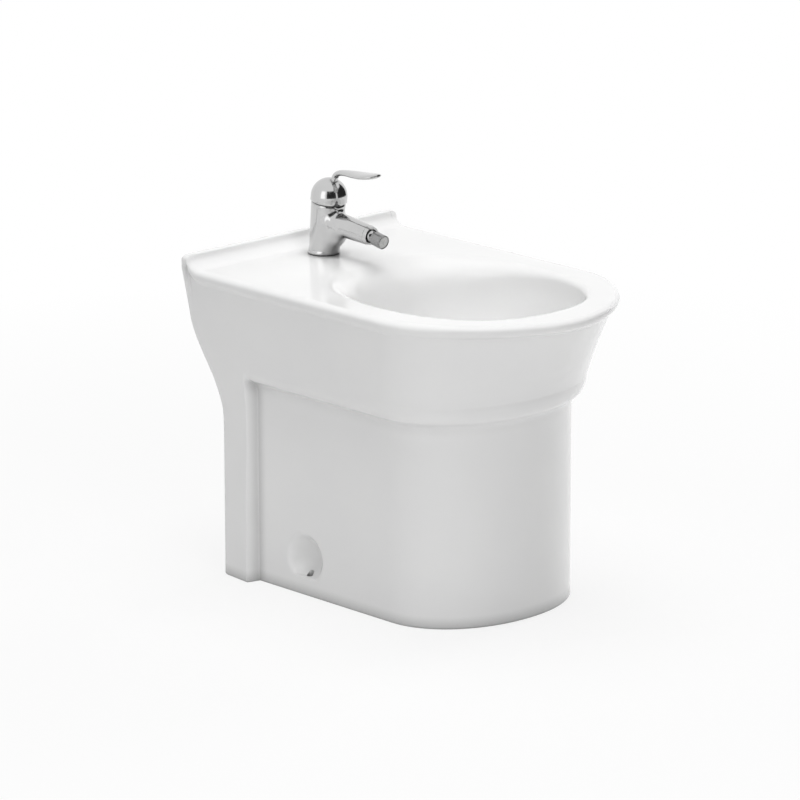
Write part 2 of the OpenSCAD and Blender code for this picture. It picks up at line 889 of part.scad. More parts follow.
// ---------- Waste ----------
seal_t = 1.2;
flange_t = 2.5;
waste_l = 64;
waste_bore_r = waste_d / 2 - 3;
under_seal_t = 5;
waste_nut_h = 9;
barrel_top = -20;
click_l = 30;
click_r = 5.5;
rod_r = 3;
piston_r = 4.5;
spider_z = -40;
spider_h = 5;
spider_t = 3;
wire_d = 0.9;
spring_turns = 5;
plug_lip_r = 28;
// Floor and top of the click barrel, and the piston at the rod's foot
click_floor = 2;
click_top = 3;
piston_h = 2.5;
// The plug's cap: edge, dome over it, and hub under it
plug_edge_h = 2;
plug_dome_h = 6;
plug_dome_r = 110;
plug_hub_r = 6;
plug_hub_l = 7;
module at_waste(z) {
    translate([0, waste_y, bowl_floor + z])
        children();
}
flange_z = seal_t - flange_sink;
module flange_seal() {
    color("dimgray")
        at_waste(-flange_sink)
            tube(seal_t, flange_d / 2 - 1, waste_d / 2 + 0.5);
}
module waste_body() {
    color("silver")
        at_waste(0) {
            translate([0, 0, flange_z])
                tube(flange_t, flange_d / 2, waste_bore_r);
            translate([0, 0, -waste_l])
                tube(waste_l + flange_z + 0.5, waste_d / 2, waste_bore_r);
            translate([0, 0, spider_z])
                difference() {
                    union() {
                        cylinder(h = spider_h, r = click_r + spider_t);
                        for (k = [0 : 2])
                            rotate([0, 0, 90 + 120 * k])
                                translate([0, -spider_t / 2, 0])
                                    cube([waste_bore_r + 1, spider_t, spider_h]);
                    }
                    translate([0, 0, -cut])
                        cylinder(h = spider_h + 2 * cut, r = click_r + run_fit);
                }
        }
}
module under_seal() {
    color("dimgray")
        at_waste(-wall_t - under_seal_t)
            tube(under_seal_t, flange_d / 2 - 1, waste_d / 2 + 0.2);
}
module waste_nut() {
    color("goldenrod")
        at_waste(-wall_t - under_seal_t - waste_nut_h)
            difference() {
                cylinder(h = waste_nut_h, r = flange_d / 2, $fn = 6);
                translate([0, 0, -cut])
                    cylinder(h = waste_nut_h + 2 * cut, r = waste_d / 2 + run_fit);
            }
}
module click_barrel() {
    color("goldenrod")
        at_waste(barrel_top - click_l)
            difference() {
                cylinder(h = click_l, r = click_r);
                translate([0, 0, click_floor])
                    cylinder(h = click_l - click_floor - click_top, r = piston_r + run_fit);
                translate([0, 0, click_floor])
                    cylinder(h = click_l, r = rod_r + run_fit);
            }
}
rod_foot = barrel_top - click_top - plug_travel - cut - piston_h;
plug_z = flange_z + flange_t + seat_gap;
plug_seal_t = 1.6;
plug_cap_r = plug_lip_r + 2;
module plug_rod() {
    color("silver")
        at_waste(0) {
            translate([0, 0, rod_foot])
                cylinder(h = plug_z + plug_seal_t + plug_edge_h - rod_foot, r = rod_r);
            translate([0, 0, rod_foot])
                cylinder(h = piston_h, r = piston_r);
        }
}
module plug_seal() {
    color("dimgray")
        at_waste(plug_z)
            tube(plug_seal_t, plug_lip_r, plug_lip_r - 5);
}
module plug_cap() {
    color("silver")
        at_waste(0)
            difference() {
                union() {
                    translate([0, 0, plug_z + plug_seal_t])
                        cylinder(h = plug_edge_h, r = plug_cap_r);
                    intersection() {
                        translate([0, 0, plug_z + plug_seal_t + plug_edge_h])
                            cylinder(h = plug_dome_h, r = plug_cap_r);
                        translate([0, 0, plug_z + plug_seal_t + plug_dome_h - plug_dome_r])
                            sphere(plug_dome_r, $fn = 160);
                    }
                    translate([0, 0, plug_z - plug_hub_l])
                        cylinder(h = plug_hub_l + plug_seal_t, r = plug_hub_r);
                }
                translate([0, 0, plug_z - plug_hub_l - cut])
                    cylinder(h = plug_hub_l + cut + plug_seal_t + plug_edge_h, r = rod_r);
            }
}
// Spring of one unbroken wire between the barrel's floor and the rod's foot
spring_low = barrel_top - click_l + click_floor;
spring_h = rod_foot - spring_low;
spring_r = piston_r - wire_d / 2 - 0.3;
spring_steps = 16;
module plug_spring() {
    n = spring_turns * spring_steps;
    sides = 6;
    rise = spring_h - wire_d - 2 * run_fit;
    color("silver")
        at_waste(spring_low + wire_d / 2 + run_fit)
            polyhedron(
                points = [
                    for (i = [0 : n], k = [0 : sides - 1])
                        let (
                            turn = 360 * i / spring_steps,
                            a = 360 * k / sides,
                            r = spring_r + wire_d / 2 * cos(a)
                        )
                        [r * cos(turn), r * sin(turn), rise * i / n - wire_d / 2 * sin(a)]
                ],
                faces = concat(
                    [[for (k = [0 : sides - 1]) k]],
                    [
                        for (i = [0 : n - 1], k = [0 : sides - 1])
                            let (a = i * sides + k, b = i * sides + (k + 1) % sides)
                            each [[a, b + sides, b], [a, a + sides, b + sides]]
                    ],
                    [[for (k = [sides - 1 : -1 : 0]) n * sides + k]]
                )
            );
}

// ---------- Trap ----------
pipe_r = pipe_d / 2;
pipe_t = 1.3;
// How far a pipe goes into its socket on the trap
pipe_in = 14;
thread_r = pipe_r + 4;
// Union nuts: threaded length, thickness of the washer and of the lip
nut_thread = 12;
washer_h = 3;
lip_t = 4;
bottle_r = 30;
bottle_low = outlet_z - 34;
bottle_high = outlet_z + 26;
neck_top = bottle_high + 14;
neck_in = 18;
cup_low = bottle_low - 28;
trap_t = 3;
outlet_y = bottle_r + 16;
// The tube that dips into the water inside the bottle
dip_t = 1.5;
dip_up = 6;
cup_chamfer = 6;
cup_thread = 8;
module at_trap(z) {
    translate([0, waste_y, z])
        children();
}
module at_outlet(y) {
    translate([0, waste_y + y, outlet_z])
        rotate([-90, 0, 0])
            children();
}
// A union nut: threaded bore r with a lip round the pipe at its far end
module union_nut(h, r, bore) {
    difference() {
        cylinder(h = h, r = r + 5);
        translate([0, 0, -cut])
            cylinder(h = h - lip_t + cut, r = bore);
        translate([0, 0, -cut])
            cylinder(h = h + 2 * cut, r = pipe_r + seat_gap);
    }
}
// The tailpiece hangs by its rim, between the nut's lip and the washer on the waste
rim_t = 2.5;
module inlet_nut() {
    color("silver")
        at_waste(-waste_l + nut_thread)
            mirror([0, 0, 1])
                union_nut(nut_thread + 2 * rim_t + lip_t, waste_d / 2, waste_d / 2 + run_fit);
}
module inlet_washer() {
    color("dimgray")
        at_waste(-waste_l - rim_t)
            tube(rim_t, waste_d / 2 - seat_gap, pipe_r - pipe_t);
}
module tailpiece() {
    foot = neck_top - neck_in - bowl_floor;
    color("silver")
        at_waste(0) {
            translate([0, 0, -waste_l - 2 * rim_t])
                tube(rim_t, waste_d / 2 - seat_gap, pipe_r - pipe_t);
            translate([0, 0, foot])
                tube(rim_t / 2 - waste_l - 2 * rim_t - foot, pipe_r, pipe_r - pipe_t);
        }
}
module trap_nut() {
    color("silver")
        at_trap(neck_top - nut_thread)
            union_nut(nut_thread + washer_h + lip_t, thread_r, thread_r + run_fit);
}
module trap_washer() {
    color("dimgray")
        at_trap(neck_top)
            tube(washer_h, thread_r - seat_gap, pipe_r);
}
module trap_body() {
    color("silver")
        difference() {
            union() {
                at_trap(bottle_low)
                    tube(bottle_high - bottle_low, bottle_r, bottle_r - trap_t);
                at_trap(bottle_high - trap_t)
                    cylinder(h = trap_t, r = bottle_r);
                at_trap(bottle_high - trap_t)
                    cylinder(h = neck_top - bottle_high + trap_t, r = thread_r);
                at_trap(bottle_low + dip_up)
                    cylinder(h = bottle_high - bottle_low - dip_up, r = pipe_r + dip_t);
                at_outlet(bottle_r - 2 * trap_t)
                    cylinder(h = outlet_y - bottle_r + 2 * trap_t, r = thread_r);
            }
            at_trap(neck_top - neck_in)
                cylinder(h = neck_top, r = pipe_r + seat_gap);
            at_trap(bottle_low)
                cylinder(h = neck_top, r = pipe_r - dip_t);
            at_outlet(pipe_r + dip_t + 2 * cut)
                cylinder(h = outlet_y, r = pipe_r - pipe_t);
            at_outlet(outlet_y - pipe_in)
                cylinder(h = outlet_y, r = pipe_r + seat_gap);
        }
}
module cup_ring() {
    color("dimgray")
        at_trap(bottle_low - washer_h)
            tube(washer_h, bottle_r - 2 * run_fit, bottle_r - trap_t);
}
module trap_cup() {
    color("silver")
        difference() {
            union() {
                at_trap(cup_low + cup_chamfer)
                    cylinder(h = bottle_low + cup_thread - cup_low - cup_chamfer, r = bottle_r + trap_t);
                at_trap(cup_low)
                    cylinder(h = cup_chamfer, r1 = bottle_r - cup_chamfer, r2 = bottle_r + trap_t);
            }
            at_trap(cup_low + lip_t)
                cylinder(h = bottle_low - cup_low, r = bottle_r - 2 * trap_t);
            at_trap(bottle_low - washer_h)
                cylinder(h = 2 * cup_thread + washer_h, r = bottle_r + run_fit);
        }
}
module outlet_nut() {
    color("silver")
        at_outlet(outlet_y - nut_thread)
            union_nut(nut_thread + washer_h + lip_t, thread_r, thread_r + run_fit);
}
module outlet_washer() {
    color("dimgray")
        at_outlet(outlet_y)
            tube(washer_h, thread_r - seat_gap, pipe_r);
}
// The pipe ends at the wall, with a bead that stops the socket pushed onto its spigot
spigot_l = 50;
bead_w = 2;
module outlet_pipe() {
    color("silver") {
        at_outlet(outlet_y - pipe_in)
            tube(wall_y - waste_y - outlet_y + pipe_in, pipe_r, pipe_r - pipe_t);
        at_outlet(wall_y - waste_y - spigot_l - bead_w)
            tube(bead_w, pipe_r + 1.2, pipe_r - pipe_t / 2);
    }
}

ceramic_body();
tap_body();
base_ring();
cartridge();
stem_carrier();
stem();
stem_pin();
cartridge_nut();
handle();
handle_screw();
handle_plug();
tap_stud();
clamp_washer();
clamp_plate();
clamp_nut();
nozzle_seat();
nozzle_collar();
swivel_ball();
nozzle_barrel();
aerator();
aerator_washer();
waste_body();
flange_seal();
under_seal();
waste_nut();
plug_cap();
plug_seal();
plug_rod();
click_barrel();
plug_spring();
tailpiece();
inlet_nut();
inlet_washer();
trap_nut();
trap_washer();
trap_body();
trap_cup();
cup_ring();
outlet_nut();
outlet_washer();
outlet_pipe();
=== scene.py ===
"""Looks of the floor-standing bidet: glazed ceramic, the chromed mixer and the fittings inside."""

import json
import math

import bmesh
import bpy
import numpy as np
from mathutils import Matrix, Vector


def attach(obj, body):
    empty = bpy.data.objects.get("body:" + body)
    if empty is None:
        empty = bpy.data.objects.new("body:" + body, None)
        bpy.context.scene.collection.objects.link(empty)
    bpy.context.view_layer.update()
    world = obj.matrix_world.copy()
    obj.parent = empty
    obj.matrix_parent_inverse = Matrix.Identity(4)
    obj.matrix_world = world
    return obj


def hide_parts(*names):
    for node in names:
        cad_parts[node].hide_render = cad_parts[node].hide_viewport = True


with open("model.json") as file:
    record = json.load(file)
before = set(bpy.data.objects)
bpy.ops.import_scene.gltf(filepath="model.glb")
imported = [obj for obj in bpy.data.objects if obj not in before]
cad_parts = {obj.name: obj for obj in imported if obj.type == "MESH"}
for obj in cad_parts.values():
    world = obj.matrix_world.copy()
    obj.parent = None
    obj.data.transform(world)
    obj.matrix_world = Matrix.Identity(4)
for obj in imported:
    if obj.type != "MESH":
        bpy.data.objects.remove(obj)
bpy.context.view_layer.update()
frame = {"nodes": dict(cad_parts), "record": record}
NODES = frame["nodes"]
MM = 0.001

# ------------------------------------------------------------------ sizes shared with the CAD model, in mm
DECK_H, BODY_L, RIM_W, WALL_T = 397.0, 527.0, 360.0, 12.0
UP_H, UP_T, UP_RUN, EDGE_H = 17.0, 12.0, 24.0, 17.0
GROOVE_IN, GROOVE_FRONT, RIM_STRAIGHT, RIM_POWER = 4.0, 12.0, 364.0, 1.7
BASE_W, BASE_FRONT, BASE_STRAIGHT, BASE_POWER = 274.0, 441.0, 336.0, 2.1
STRIP_W, STRIP_LEN, FOOT_GAP, STRIP_STEP, STRIP_TAPER = 299.0, 90.0, 42.0, 6.0, 5.0
LEDGE_Z, LEDGE_ROUND, LEDGE_FRONT = 258.0, 26.0, 449.0
FOOT_T, FOOT_H, ARCH_R, ARCH_H = 30.0, 20.0, 68.0, 200.0
POCKET_BACK, POCKET_R, POCKET_DEPTH, POCKET_Z, SCREW_D = 181.0, 34.0, 18.0, 24.0, 9.0
BOWL_W, BOWL_L, BOWL_MID, BOWL_POWER, BOWL_DEPTH = 269.0, 326.0, 312.0, 2.35, 145.0
LIP_R, LIP_BACK_R, BOWL_CURVE = 8.0, 46.0, 2.15
WASTE_BACK, FLANGE_D = 306.0, 64.0
TAP_BACK, TAP_HOLE_D = 69.0, 33.0
CORNER_R = 5.0
WALL_Y = BODY_L / 2
TAP_Y = WALL_Y - TAP_BACK
BOWL_Y = WALL_Y - BOWL_MID
WASTE_Y = WALL_Y - WASTE_BACK
STRIP_Y = WALL_Y - STRIP_LEN
POCKET_Y = WALL_Y - POCKET_BACK
GROOVE_Z = DECK_H - EDGE_H
LEDGE_TOP = LEDGE_Z + LEDGE_ROUND
BOWL_FLOOR = DECK_H - BOWL_DEPTH


def mix(a, b, t):
    return a + (b - a) * t


def clamp01(t):
    return np.clip(t, 0.0, 1.0)


def ease(t):
    u = clamp01(t)
    return u * u * (3 - 2 * u)


# ------------------------------------------------------------------ mesh helpers
def new_object(name, verts, faces, material, smooth_angle=40.0):
    mesh = bpy.data.meshes.new(name)
    mesh.from_pydata([tuple(v) for v in verts], [], [tuple(f) for f in faces])
    mesh.validate()
    obj = bpy.data.objects.new(name, mesh)
    bpy.context.scene.collection.objects.link(obj)
    mesh.materials.append(material)
    smooth(obj, smooth_angle)
    return obj


def smooth(obj, angle):
    """Smooth shading with the edges sharper than angle kept crisp."""
    mesh = obj.data
    bm = bmesh.new()
    bm.from_mesh(mesh)
    limit = math.radians(angle)
    for face in bm.faces:
        face.smooth = True
    for edge in bm.edges:
        edge.smooth = len(edge.link_faces) == 2 and edge.calc_face_angle(0.0) < limit
    bm.to_mesh(mesh)
    bm.free()


def cut(obj, cutter):
    """Take the cutter away from the object, and then remove the cutter."""
    mod = obj.modifiers.new("cut", "BOOLEAN")
    mod.operation = "DIFFERENCE"
    mod.solver = "EXACT"
    mod.object = cutter
    depsgraph = bpy.context.evaluated_depsgraph_get()
    mesh = bpy.data.meshes.new_from_object(obj.evaluated_get(depsgraph))
    obj.modifiers.remove(mod)
    old = obj.data
    obj.data = mesh
    bpy.data.meshes.remove(old)
    bpy.data.objects.remove(cutter)


def lathe_mesh(profile, segments, closed=False):
    """Vertices and faces of a profile of (radius, height) turned about Z. Radius 0 makes a pole."""
    verts, rings = [], []
    for r, z in profile:
        if r <= 1e-9:
            rings.append([len(verts)])
            verts.append((0.0, 0.0, z))
        else:
            first = len(verts)
            rings.append(list(range(first, first + segments)))
            for k in range(segments):
                a = 2 * math.pi * k / segments
                verts.append((r * math.cos(a), r * math.sin(a), z))
    faces = []
    pairs = list(zip(rings, rings[1:]))
    if closed:
        pairs.append((rings[-1], rings[0]))
    for low, high in pairs:
        if len(low) == 1 and len(high) == 1:
            continue
        for k in range(segments):
            n = (k + 1) % segments
            if len(low) == 1:
                faces.append((low[0], high[n], high[k]))
            elif len(high) == 1:
                faces.append((low[k], low[n], high[0]))
            else:
                faces.append((low[k], low[n], high[n], high[k]))
    return verts, faces


def rounded(profile, radius, closed):
    """The profile with each corner rounded by radius, or by the corner's own third value if it has one."""
    steps = 4
    out = []
    n = len(profile)
    for i, point in enumerate(profile):
        r = point[2] if len(point) > 2 else radius
        p = np.array(point[:2], float)
        if (not closed and i in (0, n - 1)) or r <= 0:
            out.append(tuple(p))
            continue
        a = np.array(profile[(i - 1) % n][:2], float)
        b = np.array(profile[(i + 1) % n][:2], float)
        da, db = a - p, b - p
        la, lb = np.linalg.norm(da), np.linalg.norm(db)
        if la < 1e-9 or lb < 1e-9:
            out.append(tuple(p))
            continue
        reach = min(r, 0.45 * la, 0.45 * lb)
        start, end = p + da / la * reach, p + db / lb * reach
        for k in range(steps + 1):
            t = k / steps
            q = (1 - t) ** 2 * start + 2 * t * (1 - t) * p + t * t * end
            out.append(tuple(q))
    return out


def lathe(name, profile, place, material, radius, segments=96, closed=True, angle=50.0):
    """A turned piece: profile in mm, corners rounded, put in place by a matrix."""
    verts, faces = lathe_mesh(rounded(profile, radius, closed), segments, closed)
    points = [place @ (Vector(v) * MM) for v in verts]
    return new_object(name, points, faces, material, angle)


# Frames of the mixer, as in the CAD model
def turn_x(degrees):
    return Matrix.Rotation(math.radians(degrees), 4, "X")


def shift(x, y, z):
    return Matrix.Translation((x * MM, y * MM, z * MM))


TAP = shift(0, TAP_Y, DECK_H)
LEAN, DROOP, NOZZLE_REST = 8.0, 5.0, 6.0
SPOUT_REACH, SPOUT_RISE = 84.0, 37.5
AXIS = TAP @ turn_x(LEAN)
SPOUT = TAP @ shift(0, -SPOUT_REACH, SPOUT_RISE) @ turn_x(90 + DROOP)
NOZZLE = SPOUT @ shift(0, 0, 1) @ turn_x(NOZZLE_REST)
WASTE = shift(0, WASTE_Y, BOWL_FLOOR)


# ------------------------------------------------------------------ materials
def node_material(name):
    mat = bpy.data.materials.new(name)
    mat.use_nodes = True
    nodes, links = mat.node_tree.nodes, mat.node_tree.links
    shader = nodes["Principled BSDF"]
    coords = nodes.new("ShaderNodeTexCoord")
    return mat, nodes, links, shader, coords


def noise(nodes, links, vector, scale, detail=3.0, stretch=None):
    if stretch:
        mapping = nodes.new("ShaderNodeMapping")
        mapping.inputs["Scale"].default_value = stretch
        links.new(vector, mapping.inputs["Vector"])
        vector = mapping.outputs["Vector"]
    tex = nodes.new("ShaderNodeTexNoise")
    tex.inputs["Scale"].default_value = scale
    tex.inputs["Detail"].default_value = detail
    tex.inputs["Roughness"].default_value = 0.5
    links.new(vector, tex.inputs["Vector"])
    return tex.outputs["Fac"]


def ramp(nodes, links, factor, low, high):
    node = nodes.new("ShaderNodeValToRGB")
    for stop, position, colour in zip(node.color_ramp.elements, (0.3, 0.7), (low, high)):
        stop.position = position
        stop.color = colour
    links.new(factor, node.inputs["Fac"])
    return node.outputs["Color"]


def scaled(nodes, links, factor, low, high):
    node = nodes.new("ShaderNodeMapRange")
    node.inputs["To Min"].default_value = low
    node.inputs["To Max"].default_value = high
    links.new(factor, node.inputs["Value"])
    return node.outputs["Result"]


def bump(nodes, links, height, strength, distance, normal=None):
    node = nodes.new("ShaderNodeBump")
    node.inputs["Strength"].default_value = strength
    node.inputs["Distance"].default_value = distance
    links.new(height, node.inputs["Height"])
    if normal:
        links.new(normal, node.inputs["Normal"])
    return node.outputs["Normal"]


def painted_gap_shade(nodes, links, tone, reach):
    """The tone with painted shade: darker where another surface is closer than reach, in mm."""
    near = nodes.new("ShaderNodeAmbientOcclusion")
    near.samples = 8
    near.inputs["Distance"].default_value = reach * MM
    links.new(tone, near.inputs["Color"])
    return near.outputs["Color"]


def grey(value, tint=(1.0, 1.0, 1.0)):
    return (value * tint[0], value * tint[1], value * tint[2], 1.0)


def ceramic_material():
    mat, nodes, links, shader, coords = node_material("glazed_ceramic")
    at = coords.outputs["Object"]
    cloud = noise(nodes, links, at, 9.0, 2.0)
    tone = ramp(nodes, links, cloud, grey(0.87), grey(0.89, (1, 1, 0.996)))
    # painted shade: the glaze's colour is darkened deep in the groove, under the ledge and along the strip,
    # where shade falls
    near = painted_gap_shade(nodes, links, tone, 17.0)
    blend = nodes.new("ShaderNodeMix")
    blend.data_type = "RGBA"
    blend.inputs["Factor"].default_value = 0.8
    links.new(tone, blend.inputs["A"])
    links.new(near, blend.inputs["B"])
    links.new(blend.outputs["Result"], shader.inputs["Base Color"])
    gloss = scaled(nodes, links, noise(nodes, links, at, 60.0), 0.10, 0.17)
    links.new(gloss, shader.inputs["Roughness"])
    shader.inputs["IOR"].default_value = 1.5
    shader.inputs["Subsurface Weight"].default_value = 0.0
    edge = nodes.new("ShaderNodeBevel")
    edge.samples = 6
    edge.inputs["Radius"].default_value = 1.6 * MM
    peel_height = noise(nodes, links, at, 130.0, 1.0)
    peel = bump(nodes, links, peel_height, 0.05, 0.4 * MM, edge.outputs["Normal"])
    wave = bump(nodes, links, noise(nodes, links, at, 16.0, 1.0), 0.06, 2.0 * MM, peel)
    links.new(wave, shader.inputs["Normal"])
    return mat


def metal_material(name, dark, light, rough, grain, strength, stretch=None, painted_shade_reach=0.0):
    mat, nodes, links, shader, coords = node_material(name)
    at = coords.outputs["Object"]
    cloud = noise(nodes, links, at, 40.0, 3.0)
    tone = ramp(nodes, links, cloud, dark, light)
    if painted_shade_reach:
        # painted shade and painted dark reflection: the chrome's colour is darkened under the spout, at the
        # foot and in the seams
        tone = painted_gap_shade(nodes, links, tone, painted_shade_reach)
    links.new(tone, shader.inputs["Base Color"])
    gloss = scaled(nodes, links, noise(nodes, links, at, 220.0, 4.0), *rough)
    links.new(gloss, shader.inputs["Roughness"])
    shader.inputs["Metallic"].default_value = 1.0
    fine = noise(nodes, links, at, grain, 2.0, stretch)
    links.new(bump(nodes, links, fine, strength, 0.1 * MM), shader.inputs["Normal"])
    return mat


def matt_material(name, dark, light, rough, grain, strength):
    mat, nodes, links, shader, coords = node_material(name)
    at = coords.outputs["Object"]
    tone = ramp(nodes, links, noise(nodes, links, at, 50.0, 3.0), dark, light)
    links.new(tone, shader.inputs["Base Color"])
    gloss = scaled(nodes, links, noise(nodes, links, at, 300.0, 2.0), *rough)
    links.new(gloss, shader.inputs["Roughness"])
    fine = noise(nodes, links, at, grain, 3.0)
    links.new(bump(nodes, links, fine, strength, 0.15 * MM), shader.inputs["Normal"])
    return mat


CERAMIC = ceramic_material()
# both chromes carry painted shade: their colour darkens near other surfaces
CHROME = metal_material(
    "chrome", grey(0.55), grey(0.58), (0.10, 0.16), 400.0, 0.02, painted_shade_reach=4.0
)
NOZZLE_CHROME = metal_material(
    "nozzle_chrome", grey(0.30), grey(0.34), (0.14, 0.22), 400.0, 0.03, painted_shade_reach=8.0
)
BRASS = metal_material(
    "brass", (0.66, 0.49, 0.24, 1), (0.78, 0.60, 0.30, 1), (0.22, 0.36), 90.0, 0.25, (1.0, 1.0, 14.0)
)
STEEL = metal_material(
    "steel", grey(0.52), grey(0.62), (0.28, 0.42), 60.0, 0.3, (1.0, 1.0, 18.0)
)
RUBBER = matt_material("rubber", grey(0.018), grey(0.035), (0.6, 0.8), 500.0, 0.4)
PLASTIC = matt_material("plastic", grey(0.72), grey(0.78, (1, 1, 0.97)), (0.35, 0.5), 350.0, 0.2)
SLOTS = {
    "ceramic": CERAMIC, "chrome": CHROME, "brass": BRASS,
    "steel": STEEL, "rubber": RUBBER, "plastic": PLASTIC,
}
for part in frame["record"]["subparts"]:
    node = NODES[part["node"]]
    if not node.material_slots:
        node.data.materials.append(None)
    for holder in node.material_slots:
        holder.material = SLOTS[part["material_slot"]]


# ------------------------------------------------------------------ ceramic body
# Each row of the body's mesh has these stations from the middle of the back to the nose: along the back by
# share, round the back corner by degrees, along the strip by share, over the strip's front edge by mm,
# along the side by share and round the nose by degrees. The other half is the row's mirror image. The
# stations of the upstand are mm from the corner, close together where the upstand bends.
BACK, CORNER, RUN, STEP, SIDE, NOSE = range(6)
RUN_GAP = 8.0
RUN_LEN = STRIP_LEN - CORNER_R - RUN_GAP
upstand_stations = [
    1.5, 3, 4, 4.6, 5.2, 5.8, 6.3, 6.7, 7.0, 7.2, 7.4, 7.7, 8.1, 8.7, 9.5, 10.6, 12, 14, 16.5, 19.5,
    23, 27, 31, 36,
]
step_stations = [-6, -4.5, -3, -2, -1.2, -0.5] + list(np.arange(0, 7.6, 0.5)) + [8.5, 10, 12]
stations = (
    [(BACK, f) for f in np.linspace(0, 1, 15)]
    + [(CORNER, a) for a in (15, 30, 45, 60, 75, 90)]
    + [(RUN, d / RUN_LEN) for d in upstand_stations]
    + [(RUN, f) for f in np.linspace(0.53, 1, 9)]
    + [(STEP, d) for d in step_stations]
    + [(SIDE, f) for f in (0.04, 0.085)]
    + [(SIDE, f) for f in np.linspace(0.125, 0.555, 36)]
    + [(SIDE, f) for f in np.linspace(0.6, 1.0, 9)]
    + [(NOSE, i * 90 / 64) for i in range(1, 65)]
)
KIND = np.array([s[0] for s in stations])
VAL = np.array([s[1] for s in stations], float)
COUNT = len(stations)


def upstand(y):
    """How high the upstand is over the deck at y: a level top with a round edge, then a hollow curve."""
    r, edge_out = 3.6, 0.4
    d = WALL_Y - np.asarray(y, float)
    run = clamp01((d - UP_T) / UP_RUN)
    hollow = UP_H * (1 - np.sqrt(np.maximum(0, 1 - (1 - run) ** 2)))
    edge = d - (UP_T + edge_out - r)
    cap = UP_H - r + np.sqrt(np.maximum(0, r * r - np.clip(edge, 0, r) ** 2))
    return np.where(d < UP_T + edge_out, np.minimum(cap, UP_H), np.minimum(hollow, UP_H - r))


# An outline is its half width, its back, the end of its straight sides, its front and its nose's power
def rim_outline(side_in, back_in):
    return [RIM_W / 2 - side_in, WALL_Y - back_in, WALL_Y - RIM_STRAIGHT, side_in - WALL_Y, RIM_POWER]


def groove_outline():
    return [RIM_W / 2 - GROOVE_IN, WALL_Y, WALL_Y - RIM_STRAIGHT, GROOVE_FRONT - WALL_Y, RIM_POWER]


def inset(o, d):
    return [o[0] - d, o[1] - d, o[2], o[3] + d, o[4]]


def skin_outline(z):
    """The body's skin at a height, from the pedestal's strip up to the groove under the rim."""
    side_from, side_power, front_power = 190.0, 1.55, 1.39
    back_from, back_rise = 212.0, 121.0
    groove = groove_outline()
    side = clamp01((z - side_from) / (GROOVE_Z - side_from)) ** side_power
    back = ease((z - back_from) / back_rise)
    rise = clamp01((z - LEDGE_Z) / (GROOVE_Z - LEDGE_Z))
    front = rise ** front_power
    return [
        mix(STRIP_W / 2, groove[0], side),
        mix(WALL_Y - FOOT_GAP, WALL_Y, back),
        mix(WALL_Y - BASE_STRAIGHT, groove[2], rise),
        mix(WALL_Y - LEDGE_FRONT, groove[3], front),
        mix(BASE_POWER, RIM_POWER, rise),
    ]


def recess_outline(z):
    """The pedestal in front of the strip, which runs out into the ledge's round over LEDGE_Z."""
    base = [BASE_W / 2, 0, WALL_Y - BASE_STRAIGHT, WALL_Y - BASE_FRONT, BASE_POWER]
    top = skin_outline(LEDGE_TOP)
    turn = clamp01((z - LEDGE_Z) / LEDGE_ROUND)
    out = math.sqrt(max(0.0, 1 - (1 - turn) ** 2))
    o = [mix(a, b, out) for a, b in zip(base, top)]
    o[1] = skin_outline(z)[1]
    return o


def station_xy(o):
    """The stations' places on an outline, seen from above."""
    hw, back, straight, front, power = o
    x = np.zeros(COUNT)
    y = np.zeros(COUNT)
    k = KIND == BACK
    x[k], y[k] = -(hw - CORNER_R) * VAL[k], back
    k = KIND == CORNER
    a = np.radians(VAL[k])
    x[k], y[k] = -(hw - CORNER_R) - CORNER_R * np.sin(a), back - CORNER_R + CORNER_R * np.cos(a)
    k = KIND == RUN
    x[k], y[k] = -hw, mix(back - CORNER_R, STRIP_Y + RUN_GAP, VAL[k])
    k = KIND == STEP
    x[k], y[k] = -hw, STRIP_Y - VAL[k]
    k = KIND == SIDE
    x[k], y[k] = -hw, mix(STRIP_Y - 2 * STRIP_STEP, straight, VAL[k])
    k = KIND == NOSE
    a = np.radians(VAL[k])
    u = np.maximum(0.0, np.cos(a)) ** (2 / power)
    # a little blunter at the very front than the plain superellipse
    soft = 0.09
    least, most = soft ** power, (1 + soft * soft) ** (power / 2)
    h = ((u * u + soft * soft) ** (power / 2) - least) / (most - least)
    t = np.maximum(0.0, 1 - h) ** (1 / power)
    x[k], y[k] = -hw * u, mix(straight, front, t)
    x[-1] = 0.0
    return x, y


def strip_part(y):
    """1 on the strip along the back of the pedestal, 0 in front of it."""
    return ease((y - STRIP_Y + STRIP_STEP) / STRIP_STEP)


def strip_spread(y, z):
    """How much wider the strip is at a place, for it widens downwards and towards its front edge."""
    taper_from, taper_rise = 95.0, 190.0
    low = 1 - clamp01((z - taper_from) / taper_rise)
    forward = clamp01((WALL_Y - FOOT_GAP - y) / (STRIP_LEN - FOOT_GAP))
    return STRIP_TAPER * low * forward


def end_fade(y):
    """1 at the deck's back end, where rim and groove meet in one edge, 0 further forward."""
    reach, run = 10.0, 6.0
    return ease((y - WALL_Y + reach) / run)


def lift(z):
    """How much of the upstand's height a row of the skin follows."""
    run = 40.0
    return ease((z - GROOVE_Z + run) / run)


def skin_row(z, d=0.0):
    """A row of the outside at a height, or d inside of it."""
    fx, fy = station_xy(inset(skin_outline(z), d))
    bx, by = station_xy(inset(recess_outline(z), d))
    share = strip_part(fy) if z < LEDGE_TOP else np.ones(COUNT)
    x, y = mix(bx, fx, share), mix(by, fy, share)
    spread = np.where(KIND >= RUN, share * strip_spread(y, z), 0.0) if z < LEDGE_TOP else 0.0
    end = np.where((KIND == BACK) | (KIND >= SIDE), 0.0, GROOVE_IN * end_fade(y) * lift(z))
    return np.stack([x - spread - end, y, z + upstand(y) * lift(z)], 1)


def edge_row(t, drop):
    """A row of the rolled edge between the groove (t 0) and the rim (t 1)."""
    gx, gy = station_xy(groove_outline())
    rx, ry = station_xy(rim_outline(0, 0))
    share = np.maximum(t, end_fade(ry))
    return np.stack([mix(gx, rx, share), mix(gy, ry, share), DECK_H - drop + upstand(ry)], 1)


